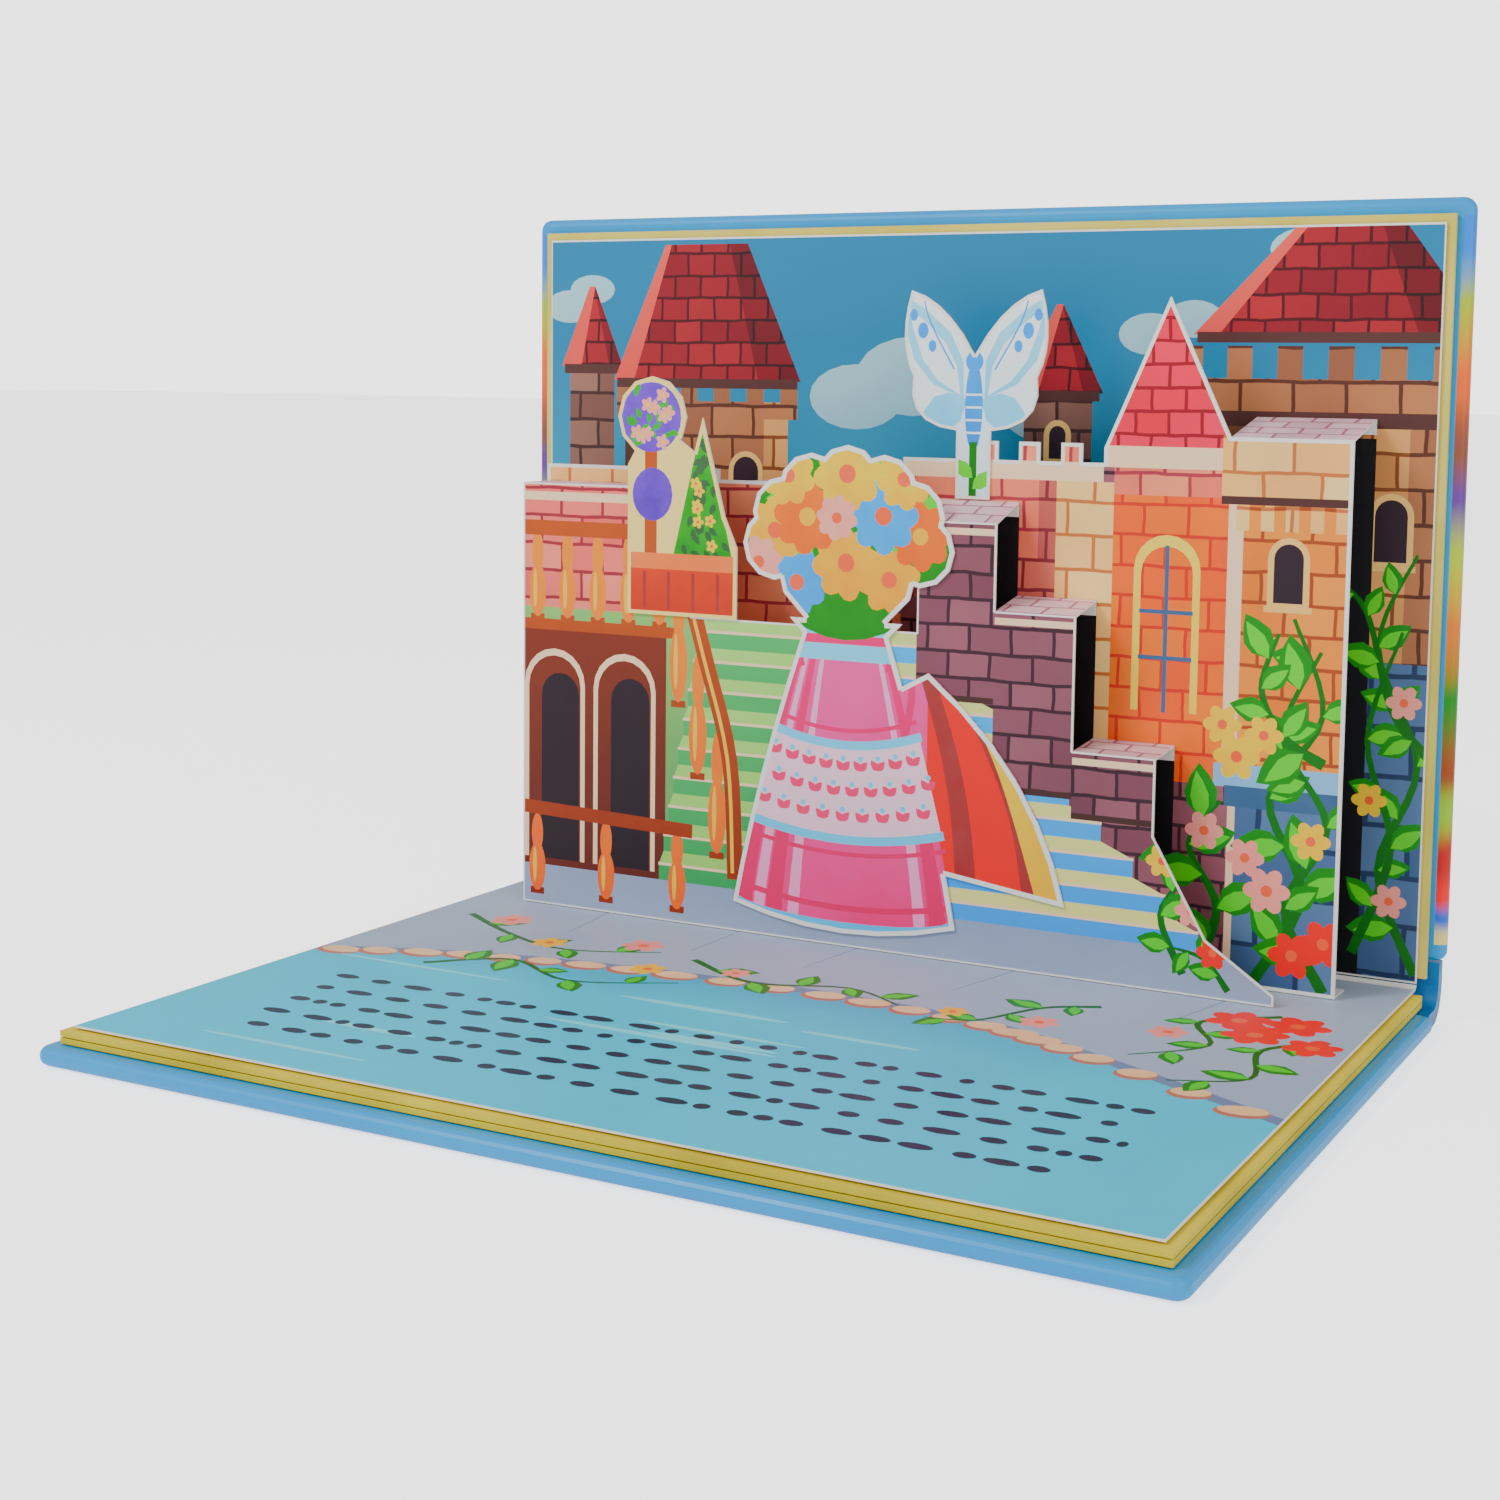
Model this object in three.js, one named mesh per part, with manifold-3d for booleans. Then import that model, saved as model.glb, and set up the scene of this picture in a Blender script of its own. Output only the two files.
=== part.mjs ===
// A landscape pop-up picture book, standing open at a right angle on its back cover.
// Millimetres. +X runs along the gutter, +Y to the rear and +Z up.
// The origin is the middle of the back cover's underside, on the table. Inside the book's own group,
// y is 0 at the face of the upright page, which is above the gutter.
import * as THREE from 'three';
import { mergeVertices } from 'three/addons/utils/BufferGeometryUtils.js';
import Module from 'manifold-3d';

const wasm = await Module();
wasm.setup();

// Clearance between pieces that are pasted together or lie on each other
const fitGap = 0.3;

// Pages: printed sheets on both sides of the gutter, and the thick leaves that they lie against
const pageWidth = 270;
const pageHeight = 196;
const pageThickness = 0.4;
const airUnderPage = 0.5;
const leafThickness = 1.4;
const lowerLeafCount = 2;
const leafSlit = 0.3;
const leafSlitDepth = 1.5;
const leafSetback = 2.6;
const leafOverhang = 2.2;

// Covers: foam-padded boards with soft edges
const coverThickness = 4.6;
const coverOverhang = 6.5;
const coverSetback = 7;
const coverCornerRadius = 3.5;
const coverInnerCornerRadius = 3;
const coverEdgeRadius = 2.1;

// Spine and gutter
const popUpRoom = 2.2;
const foldSlit = 0.4;
const spineThickness = 4;
const spineEndInset = 1.5;
const spineLift = 0.2;

// Pop-up card
const cardThickness = 0.5;
const wallDistance = 22;
const wallLeft = -121;
const wallRight = 119.5;
const wallHeight = 126;
const wallRaisedHeight = 134;
const wallRaisedLeft = -4;
const roofLeft = 54;
const roofRight = 88;
const roofEavesHeight = 138;
const roofApexHeight = 177;
const towerHeight = 141.5;
const merlonHeight = 5;
const merlonWidth = 6;
const merlonCount = 3;
const towerStripRise = 5;
const backStripLeft = -52;
const backStripWidth = 34;

// Front card, with the blocks that stand out of the wall
const frontDistance = 37;
const frontLeft = -119;
const frontRight = 108;
const floorEdgeHeight = 3;
const floorShoulder = 18;
const floorShoulderHeight = 15;
const terraceRight = -62;
const terraceHeight = 124;
const landingHeight = 88;
const lastBlockSillHeight = 40;
const blocksLeft = 8;
const blockWidth = 22.5;
const highBlockHeight = 118;
const middleBlockHeight = 95;
const lowBlockHeight = 60;
const highStripRise = 5;
const middleStripRise = 3;
const lowStripRise = 1.5;
const terraceRise = 5;
const footTabDepth = 9;
const glueTabHeight = 4;

// Die-cut layers glued to the front of the cards
const urnCentre = -13;
const urnFootRadius = 34;
const urnNeckRadius = 13;
const urnBottom = 4;
const urnNeckHeight = 86;
const urnHemDrop = 5;
const urnRim = 4;
const urnBelly = 0.8;
const bouquetRadius = 22;
const bouquetSpread = 0.8;
const bouquetLift = 0.1;
const bloomShare = 0.45;
const bloomCount = 7;
const drapeReach = 52;
const drapeTuck = 4;
const drapeShoulder = 16;
const drapeBulge = 8;
const drapeHead = 0.9;
const drapeWaist = 0.8;
const drapeSide = 0.62;
const drapeHem = 0.3;
const drapeSag = 0.26;
const drapeTip = 0.22;
const shrubLeft = -86;
const shrubWidth = 39;
const shrubTop = 155;
const shrubOverlap = 1.5;
const ballDepth = 2.2;
const tubHeight = 20;
const tubShare = 0.7;
const wingCentre = 17;
const wingSpan = 42;
const wingTop = 179;
const wingDrop = 16;
const wingRise = 0.55;
const wingRootShare = 0.3;
const stemWidth = 10;

// Places worked out from the sizes above
const coverWidth = pageWidth + 2 * coverOverhang;
const coverLength = pageHeight + coverOverhang - coverSetback;
const leavesBottom = coverThickness + fitGap;
const leavesHeight = lowerLeafCount * leafThickness + (lowerLeafCount - 1) * leafSlit;
const pageUnderside = leavesBottom + leavesHeight + airUnderPage;
const pageLevel = pageUnderside + pageThickness;
const leafFront = pageThickness + airUnderPage;
const coverFront = leafFront + leafThickness + fitGap;
const coverBack = coverFront + coverThickness;
const foldRadius = (popUpRoom + foldSlit) / 2;
const hingeY = -popUpRoom / 2;
const hingeZ = pageLevel + popUpRoom / 2;
const blocks = [
  { height: highBlockHeight, rise: highStripRise },
  { height: middleBlockHeight, rise: middleStripRise },
  { height: lowBlockHeight, rise: lowStripRise },
].map((block, n) => ({
  ...block,
  left: blocksLeft + n * blockWidth,
  right: blocksLeft + (n + 1) * blockWidth,
}));
const bouquetHeight = urnNeckHeight + urnRim + bouquetRadius * bouquetSpread;
const wingFoot = highBlockHeight + highStripRise + fitGap;

// Shapes as closed solids and back again
function solidOf(geometry) {
  const bare = geometry.clone();
  bare.deleteAttribute('normal');
  bare.deleteAttribute('uv');
  const merged = mergeVertices(bare, 1e-4);
  const mesh = new wasm.Mesh({
    numProp: 3,
    vertProperties: new Float32Array(merged.attributes.position.array),
    triVerts: new Uint32Array(merged.index.array),
  });
  return new wasm.Manifold(mesh);
}

function geometryOf(solid) {
  const mesh = solid.getMesh();
  const geometry = new THREE.BufferGeometry();
  geometry.setAttribute('position', new THREE.BufferAttribute(new Float32Array(mesh.vertProperties), 3));
  geometry.setIndex(new THREE.BufferAttribute(new Uint32Array(mesh.triVerts), 1));
  geometry.computeVertexNormals();
  return geometry;
}

function joined(geometries) {
  let whole = solidOf(geometries[0]);
  for (const geometry of geometries.slice(1)) {
    whole = whole.add(solidOf(geometry));
  }
  return geometryOf(whole);
}

function box(x0, x1, y0, y1, z0, z1) {
  const geometry = new THREE.BoxGeometry(x1 - x0, y1 - y0, z1 - z0);
  geometry.translate((x0 + x1) / 2, (y0 + y1) / 2, (z0 + z1) / 2);
  return geometry;
}

function outline(points) {
  return new THREE.Shape(points.map(([u, v]) => new THREE.Vector2(u, v)));
}

// A sheet of card that stands upright: its outline is given as x and height, its printed face is at frontY
function uprightCard(shape, frontY) {
  const geometry = new THREE.ExtrudeGeometry(shape, {
    depth: cardThickness,
    bevelEnabled: false,
    curveSegments: 6,
  });
  geometry.rotateX(Math.PI / 2);
  geometry.translate(0, frontY + cardThickness, 0);
  return geometry;
}

// A section given as y and height, drawn out along X
function alongX(shape, x0, x1) {
  const geometry = new THREE.ExtrudeGeometry(shape, {
    depth: x1 - x0,
    bevelEnabled: false,
    curveSegments: 10,
  });
  const turn = new THREE.Matrix4().makeBasis(
    new THREE.Vector3(0, 1, 0),
    new THREE.Vector3(0, 0, 1),
    new THREE.Vector3(1, 0, 0),
  );
  geometry.applyMatrix4(turn);
  geometry.translate(x0, 0, 0);
  return geometry;
}

// The strip that folds back from a card's top edge, with its glue tab turned down at the rear
function foldedStrip(x0, x1, yFront, yRear, height, rise) {
  const top = height + rise;
  const section = outline([
    [yFront, height],
    [yFront, height - cardThickness],
    [yRear - cardThickness, top - cardThickness],
    [yRear - cardThickness, top - glueTabHeight],
    [yRear, top - glueTabHeight],
    [yRear, top],
  ]);
  return alongX(section, x0, x1);
}

function footTab(x0, x1, yFront) {
  return box(x0, x1, yFront, yFront + footTabDepth, fitGap, fitGap + cardThickness);
}

// Covers: one padded board, laid flat with its free edge forward, or stood up with its free edge at the top
function coverBoard() {
  const half = coverWidth / 2;
  const free = coverCornerRadius;
  const inner = coverInnerCornerRadius;
  const shape = new THREE.Shape();
  shape.moveTo(-half + inner, 0);
  shape.lineTo(half - inner, 0);
  shape.absarc(half - inner, inner, inner, -Math.PI / 2, 0, false);
  shape.lineTo(half, coverLength - free);
  shape.absarc(half - free, coverLength - free, free, 0, Math.PI / 2, false);
  shape.lineTo(-half + free, coverLength);
  shape.absarc(-half + free, coverLength - free, free, Math.PI / 2, Math.PI, false);
  shape.lineTo(-half, inner);
  shape.absarc(-half + inner, inner, inner, Math.PI, 1.5 * Math.PI, false);
  const geometry = new THREE.ExtrudeGeometry(shape, {
    depth: coverThickness - 2 * coverEdgeRadius,
    bevelEnabled: true,
    bevelThickness: coverEdgeRadius,
    bevelSize: coverEdgeRadius,
    bevelOffset: -coverEdgeRadius,
    bevelSegments: 4,
    curveSegments: 5,
  });
  geometry.translate(0, 0, coverEdgeRadius);
  return geometryOf(solidOf(geometry));
}

function paint(colour, roughness) {
  return new THREE.MeshStandardMaterial({ color: colour, roughness, metalness: 0 });
}

const coverBlue = paint(0x22b4e6, 0.32);
const leafCream = paint(0xe6dc96, 0.8);
const printedCard = paint(0xf2efe8, 0.45);

function piece(name, geometry, material) {
  const mesh = new THREE.Mesh(geometry, material);
  mesh.name = name;
  return mesh;
}

const book = new THREE.Group();
book.position.y = coverSetback + coverLength / 2;

// Lower half: back cover, its leaves and the lower page
const lowerHalf = new THREE.Group();
book.add(lowerHalf);

const lowerCover = piece('lower_cover', coverBoard(), coverBlue);
lowerCover.rotation.z = Math.PI;
lowerCover.position.y = -coverSetback;
lowerHalf.add(lowerCover);

function lowerLeavesGeometry() {
  const half = pageWidth / 2 + leafOverhang;
  const free = -pageHeight - leafOverhang;
  const sheets = [];
  for (let n = 0; n < lowerLeafCount; n += 1) {
    const z = leavesBottom + n * (leafThickness + leafSlit);
    sheets.push(box(-half, half, free, -leafSetback, z, z + leafThickness));
  }
  const core = box(
    -half + leafSlitDepth,
    half - leafSlitDepth,
    free + leafSlitDepth,
    -leafSetback - leafSlitDepth,
    leavesBottom + leafThickness / 2,
    leavesBottom + leavesHeight - leafThickness / 2,
  );
  return joined([core, ...sheets]);
}
lowerHalf.add(piece('lower_leaves', lowerLeavesGeometry(), leafCream));

lowerHalf.add(piece(
  'lower_page',
  box(-pageWidth / 2, pageWidth / 2, -pageHeight, -foldRadius, pageUnderside, pageLevel),
  printedCard,
));

// Upper half: front cover, its leaf and the upper page, standing upright
const upperHalf = new THREE.Group();
book.add(upperHalf);

const upperCover = piece('upper_cover', coverBoard(), coverBlue);
upperCover.rotation.x = Math.PI / 2;
upperCover.position.set(0, coverBack, pageLevel + coverSetback);
upperHalf.add(upperCover);

upperHalf.add(piece(
  'upper_leaf',
  box(
    -pageWidth / 2 - leafOverhang,
    pageWidth / 2 + leafOverhang,
    leafFront,
    leafFront + leafThickness,
    pageLevel + leafSetback,
    pageLevel + pageHeight + leafOverhang,
  ),
  leafCream,
));

upperHalf.add(piece(
  'upper_page',
  box(-pageWidth / 2, pageWidth / 2, 0, pageThickness, pageLevel + foldRadius, pageLevel + pageHeight),
  printedCard,
));

// Gutter fold: the narrow bent stretch that joins the lower page to the upper one
function gutterFoldGeometry() {
  const reach = Math.asin(fitGap / foldRadius);
  const from = -Math.PI / 2 + reach;
  const to = -reach;
  const shape = new THREE.Shape();
  shape.absarc(-foldRadius, pageLevel + foldRadius, foldRadius + pageThickness, from, to, false);
  shape.absarc(-foldRadius, pageLevel + foldRadius, foldRadius, to, from, true);
  return alongX(shape, -pageWidth / 2, pageWidth / 2);
}
book.add(piece('gutter_fold', gutterFoldGeometry(), printedCard));

// Spine: the padded strip that wraps the corner between the two covers, centred on the hinge line
function spineGeometry() {
  const outerY = coverBack - hingeY;
  const outerZ = hingeZ - spineLift;
  const innerY = outerY - spineThickness;
  const innerZ = outerZ - spineThickness;
  const rear = -coverSetback + fitGap;
  const top = pageLevel + coverSetback - fitGap;
  const shape = new THREE.Shape();
  shape.moveTo(rear, hingeZ - outerZ);
  shape.lineTo(hingeY, hingeZ - outerZ);
  shape.absellipse(hingeY, hingeZ, outerY, outerZ, -Math.PI / 2, 0, false, 0);
  shape.lineTo(coverBack, top);
  shape.lineTo(coverBack - spineThickness, top);
  shape.lineTo(hingeY + innerY, hingeZ);
  shape.absellipse(hingeY, hingeZ, innerY, innerZ, 0, -Math.PI / 2, true, 0);
  shape.lineTo(rear, hingeZ - innerZ);
  return alongX(shape, -coverWidth / 2 + spineEndInset, coverWidth / 2 - spineEndInset);
}
book.add(piece('spine', spineGeometry(), coverBlue));

// Pop-up: heights are above the lower page
const popUp = new THREE.Group();
popUp.position.z = pageLevel;
book.add(popUp);

function wallOutline() {
  const points = [
    [wallLeft, fitGap],
    [wallRight, fitGap],
    [wallRight, towerHeight],
    [roofRight, towerHeight],
    [(roofLeft + roofRight) / 2, roofApexHeight],
    [roofLeft, roofEavesHeight],
  ];
  for (let n = 0; n < merlonCount; n += 1) {
    const right = roofLeft - (2 * n + 1) * merlonWidth;
    points.push([right, wallRaisedHeight]);
    points.push([right, wallRaisedHeight + merlonHeight]);
    points.push([right - merlonWidth, wallRaisedHeight + merlonHeight]);
    points.push([right - merlonWidth, wallRaisedHeight]);
  }
  points.splice(6, 0, [roofLeft, wallRaisedHeight]);
  points.push([wallRaisedLeft, wallRaisedHeight]);
  points.push([wallRaisedLeft, wallHeight]);
  points.push([terraceRight, wallHeight]);
  points.push([terraceRight, terraceHeight + terraceRise]);
  points.push([wallLeft, terraceHeight + terraceRise]);
  return outline(points);
}

const wallFace = -wallDistance;
const upperPageFace = -fitGap;
popUp.add(piece(
  'wall_card',
  joined([
    uprightCard(wallOutline(), wallFace),
    footTab(wallLeft, wallRight, wallFace),
    foldedStrip(roofRight, wallRight, wallFace, upperPageFace, towerHeight, towerStripRise),
    foldedStrip(backStripLeft, backStripLeft + backStripWidth, wallFace, upperPageFace, wallHeight, 0),
  ]),
  printedCard,
));

const frontFace = -frontDistance;
const tabOnWall = wallFace - fitGap;

function frontOutline() {
  const points = [
    [frontLeft, fitGap],
    [frontRight, fitGap],
    [frontRight, floorEdgeHeight],
    [frontRight - floorShoulder, floorShoulderHeight],
    [blocks[2].right, lastBlockSillHeight],
  ];
  for (const block of [...blocks].reverse()) {
    points.push([block.right, block.height]);
    points.push([block.left, block.height]);
  }
  points.push([blocks[0].left, landingHeight]);
  points.push([terraceRight, landingHeight]);
  points.push([terraceRight, terraceHeight]);
  points.push([frontLeft, terraceHeight]);
  return outline(points);
}

popUp.add(piece(
  'front_card',
  joined([
    uprightCard(frontOutline(), frontFace),
    footTab(frontLeft, frontRight - floorShoulder, frontFace),
    foldedStrip(frontLeft, terraceRight, frontFace, tabOnWall, terraceHeight, 0),
    ...blocks.map((block) => foldedStrip(
      block.left,
      block.right,
      frontFace,
      tabOnWall,
      block.height,
      block.rise,
    )),
  ]),
  printedCard,
));

// Urn of flowers: the largest die-cut layer, glued to the face of the front card
const urnFace = frontFace - fitGap - cardThickness;

function urnBody() {
  const left = urnCentre - urnFootRadius;
  const right = urnCentre + urnFootRadius;
  const waist = (urnBottom + urnNeckHeight) / 2;
  const hem = urnBottom + urnHemDrop;
  const shape = new THREE.Shape();
  shape.moveTo(left, hem);
  shape.quadraticCurveTo(urnCentre, urnBottom - urnHemDrop, right, hem);
  const belly = urnFootRadius * urnBelly;
  shape.quadraticCurveTo(urnCentre + belly, waist, urnCentre + urnNeckRadius, urnNeckHeight);
  shape.lineTo(urnCentre + urnNeckRadius + urnRim, urnNeckHeight + urnRim);
  shape.lineTo(urnCentre - urnNeckRadius - urnRim, urnNeckHeight + urnRim);
  shape.lineTo(urnCentre - urnNeckRadius, urnNeckHeight);
  shape.quadraticCurveTo(urnCentre - belly, waist, left, hem);
  return shape;
}

function disc(x, z, radius) {
  const shape = new THREE.Shape();
  shape.absarc(x, z, radius, 0, 2 * Math.PI, false);
  return shape;
}

function bouquetDiscs() {
  const discs = [disc(urnCentre, bouquetHeight, bouquetRadius)];
  for (let n = 0; n < bloomCount; n += 1) {
    const turn = (Math.PI * n) / (bloomCount - 1);
    const x = urnCentre + bouquetRadius * Math.cos(turn);
    const z = bouquetHeight + bouquetRadius * (bouquetLift + bouquetSpread * Math.sin(turn));
    discs.push(disc(x, z, bouquetRadius * bloomShare));
  }
  return discs;
}

function drapeShape() {
  const shape = new THREE.Shape();
  const start = urnCentre + urnNeckRadius - drapeTuck;
  const foot = start + drapeTuck;
  const middle = (foot + drapeReach) / 2;
  shape.moveTo(start, urnNeckHeight * drapeWaist);
  shape.lineTo(foot, urnNeckHeight * drapeHem);
  shape.quadraticCurveTo(middle, urnNeckHeight * drapeSag, drapeReach, urnNeckHeight * drapeTip);
  shape.quadraticCurveTo(
    drapeReach - drapeBulge,
    urnNeckHeight * drapeSide,
    start + drapeShoulder,
    urnNeckHeight * drapeHead,
  );
  return shape;
}

popUp.add(piece(
  'urn_layer',
  joined([urnBody(), ...bouquetDiscs(), drapeShape()].map((shape) => uprightCard(shape, urnFace))),
  printedCard,
));

// Pair of clipped shrubs in tubs, glued beside the landing
function shrubShapes() {
  const radius = shrubWidth / 4 + shrubOverlap;
  const left = shrubLeft + radius;
  const right = shrubLeft + shrubWidth - radius;
  const ball = disc(left, shrubTop - radius, radius);
  const cone = outline([
    [right - radius, landingHeight + tubHeight * tubShare],
    [right + radius, landingHeight + tubHeight * tubShare],
    [right, shrubTop - radius],
  ]);
  const trunk = outline([
    [left - radius * tubShare, landingHeight],
    [right + radius, landingHeight],
    [right + radius, landingHeight + tubHeight],
    [right, shrubTop - 2 * radius],
    [left, shrubTop - radius],
    [left - radius * tubShare, shrubTop - ballDepth * radius],
  ]);
  return [trunk, ball, cone];
}

popUp.add(piece(
  'shrub_layer',
  joined(shrubShapes().map((shape) => uprightCard(shape, urnFace))),
  printedCard,
));

// Butterfly on a stem, glued to the face of the wall card
function wingShape(side) {
  const reach = wingSpan / 2;
  const middle = wingTop - wingSpan * wingRise;
  const root = side * stemWidth * wingRootShare;
  const shape = new THREE.Shape();
  shape.moveTo(wingCentre - root, middle - wingDrop * 0.9);
  shape.quadraticCurveTo(
    wingCentre + side * reach,
    middle - wingDrop,
    wingCentre + side * reach * 0.86,
    middle,
  );
  shape.quadraticCurveTo(
    wingCentre + side * reach * 1.1,
    middle + wingDrop * 0.6,
    wingCentre + side * reach * 0.9,
    wingTop,
  );
  shape.quadraticCurveTo(
    wingCentre + side * reach * 0.3,
    wingTop - wingDrop * 0.2,
    wingCentre - root,
    middle,
  );
  return shape;
}

function stemShape() {
  const top = wingTop - wingSpan * wingRise;
  return outline([
    [wingCentre - stemWidth / 2, wingFoot],
    [wingCentre + stemWidth / 2, wingFoot],
    [wingCentre + stemWidth / 2, top],
    [wingCentre - stemWidth / 2, top],
  ]);
}

popUp.add(piece(
  'butterfly_layer',
  joined([stemShape(), wingShape(-1), wingShape(1)].map(
    (shape) => uprightCard(shape, wallFace - fitGap - cardThickness),
  )),
  printedCard,
));

export default book;
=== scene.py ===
"""A landscape pop-up picture book of a castle garden, standing open at a right angle.

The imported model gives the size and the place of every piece. This script gives each piece its
finish, and lays the printed ink on the pages and on the die-cut cards.
"""

import math
import random

import bmesh
import bpy
from mathutils import Matrix, Vector
from mathutils.geometry import delaunay_2d_cdt


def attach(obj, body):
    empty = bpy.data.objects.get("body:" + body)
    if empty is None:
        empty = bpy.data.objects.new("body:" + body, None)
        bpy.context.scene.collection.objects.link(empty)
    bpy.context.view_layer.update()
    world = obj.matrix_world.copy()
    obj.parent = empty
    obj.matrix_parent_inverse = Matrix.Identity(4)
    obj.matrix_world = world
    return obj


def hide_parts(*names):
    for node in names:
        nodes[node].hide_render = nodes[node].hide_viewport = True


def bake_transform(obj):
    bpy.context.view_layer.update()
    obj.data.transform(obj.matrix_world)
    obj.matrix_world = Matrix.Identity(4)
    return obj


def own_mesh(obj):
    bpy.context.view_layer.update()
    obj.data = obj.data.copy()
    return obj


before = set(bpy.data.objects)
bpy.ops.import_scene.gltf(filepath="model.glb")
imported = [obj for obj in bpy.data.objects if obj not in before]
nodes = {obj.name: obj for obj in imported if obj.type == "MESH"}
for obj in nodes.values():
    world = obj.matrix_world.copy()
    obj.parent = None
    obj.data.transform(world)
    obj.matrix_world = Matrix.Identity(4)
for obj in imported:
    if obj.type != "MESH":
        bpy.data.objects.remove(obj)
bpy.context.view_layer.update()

# Covers. Two foam-padded boards wrapped in glossy printed film, hinged at the gutter. The film is
# cyan blue, and the picture of the front cover runs over its side edges in bands of colour.

COVER_BLUE = "#00b2d2"
COVER_DEEP_BLUE = "#009cc6"
COVER_ROUGHNESS = 0.36
COVER_COAT = 0.12
COVER_COAT_ROUGHNESS = 0.12
SPECULAR_LEVEL = 0.3
INK_SATURATION = 1.7
INK_DEPTH = 1.4
DRIFT_SCALE = 14
DENT_SCALE = 45
DENT_STRENGTH = 0.25
DENT_DEPTH = 0.0006


def srgb(code):
    """The linear colour of a hex code, with full alpha."""
    channels = [int(code[place : place + 2], 16) / 255 for place in (1, 3, 5)]
    linear = [
        c / 12.92 if c <= 0.04045 else ((c + 0.055) / 1.055) ** 2.4 for c in channels
    ]
    return (*linear, 1.0)


def ink_colour(code):
    """The linear colour of a printed hex code, richer and deeper, as wet ink is on white paper."""
    red, green, blue, alpha = srgb(code)
    grey = 0.2126 * red + 0.7152 * green + 0.0722 * blue
    rich = [max(0.0, grey + INK_SATURATION * (c - grey)) ** INK_DEPTH for c in (red, green, blue)]
    return (*(min(1.0, c) for c in rich), alpha)


def new_material(name, roughness, coat=0.0, coat_roughness=0.1):
    """A material with one Principled shader, and the shader."""
    material = bpy.data.materials.new(name)
    material.use_nodes = True
    shader = material.node_tree.nodes["Principled BSDF"]
    shader.inputs["Roughness"].default_value = roughness
    shader.inputs["Specular IOR Level"].default_value = SPECULAR_LEVEL
    shader.inputs["Coat Weight"].default_value = coat
    shader.inputs["Coat Roughness"].default_value = coat_roughness
    return material, shader


def add_node(tree, kind, inputs=None, **settings):
    """A shader node. Each of its inputs is a value, or the output socket that feeds it."""
    made = tree.nodes.new(f"ShaderNode{kind}")
    for setting, value in settings.items():
        setattr(made, setting, value)
    for socket, value in (inputs or {}).items():
        if isinstance(value, bpy.types.NodeSocket):
            tree.links.new(value, made.inputs[socket])
        else:
            made.inputs[socket].default_value = value
    return made


def calculate(tree, operation, *values, **settings):
    """The result of a Math node on values and sockets."""
    sums = add_node(tree, "Math", dict(enumerate(values)), operation=operation, **settings)
    return sums.outputs["Value"]


def piece_place(tree):
    """The place on the piece, in metres of the shared frame."""
    return add_node(tree, "TexCoord").outputs["Object"]


def noise(tree, place, scale, detail=2.0):
    """Soft patches between 0 and 1."""
    patches = add_node(tree, "TexNoise", {"Vector": place, "Scale": scale, "Detail": detail})
    return patches.outputs["Fac"]


def mixed(tree, share, first, second):
    """The first colour, with a share of the second."""
    inputs = {"Factor": share, "A": first, "B": second}
    return add_node(tree, "Mix", inputs, data_type="RGBA").outputs["Result"]


def new_group(name, inputs, outputs):
    """An empty node group with its sockets, and its input and output nodes."""
    group = bpy.data.node_groups.new(name, "ShaderNodeTree")
    for label, kind, value in inputs:
        socket = group.interface.new_socket(label, in_out="INPUT", socket_type=kind)
        socket.default_value = value
    for label, kind in outputs:
        group.interface.new_socket(label, in_out="OUTPUT", socket_type=kind)
    return group, group.nodes.new("NodeGroupInput").outputs, group.nodes.new("NodeGroupOutput")


def patterned_material(name, group, values, roughness, coat=0.0, coat_roughness=0.1):
    """A material whose colour comes from a shader group with these values, and the group."""
    material, shader = new_material(name, roughness, coat, coat_roughness)
    tree = material.node_tree
    pattern = add_node(tree, "Group", values, node_tree=group)
    tree.links.new(pattern.outputs["Color"], shader.inputs["Base Color"])
    return material, pattern


def raise_pattern(material, pattern, strength, depth):
    """The pattern's height stands out of the surface."""
    tree = material.node_tree
    inputs = {"Height": pattern.outputs["Height"], "Strength": strength, "Distance": depth}
    bump = add_node(tree, "Bump", inputs)
    tree.links.new(bump.outputs["Normal"], tree.nodes["Principled BSDF"].inputs["Normal"])


def film_group():
    """Padded film: two blues that drift, and the soft dents of foam under it."""
    group, given, result = new_group(
        "padded_film",
        [
            ("Light", "NodeSocketColor", srgb(COVER_BLUE)),
            ("Dark", "NodeSocketColor", srgb(COVER_DEEP_BLUE)),
        ],
        [("Color", "NodeSocketColor"), ("Height", "NodeSocketFloat")],
    )
    place = piece_place(group)
    drift = noise(group, place, DRIFT_SCALE, 3)
    dents = noise(group, place, DENT_SCALE, 1)
    colour = mixed(group, drift, given["Light"], given["Dark"])
    group.links.new(colour, result.inputs["Color"])
    group.links.new(dents, result.inputs["Height"])
    return group


padded_film = film_group()


def film_material(name, light, dark):
    """Glossy film over foam, in two close colours."""
    material, film = patterned_material(
        name,
        padded_film,
        {"Light": ink_colour(light), "Dark": ink_colour(dark)},
        COVER_ROUGHNESS,
        COVER_COAT,
        COVER_COAT_ROUGHNESS,
    )
    raise_pattern(material, film, DENT_STRENGTH, DENT_DEPTH)
    return material


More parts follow.
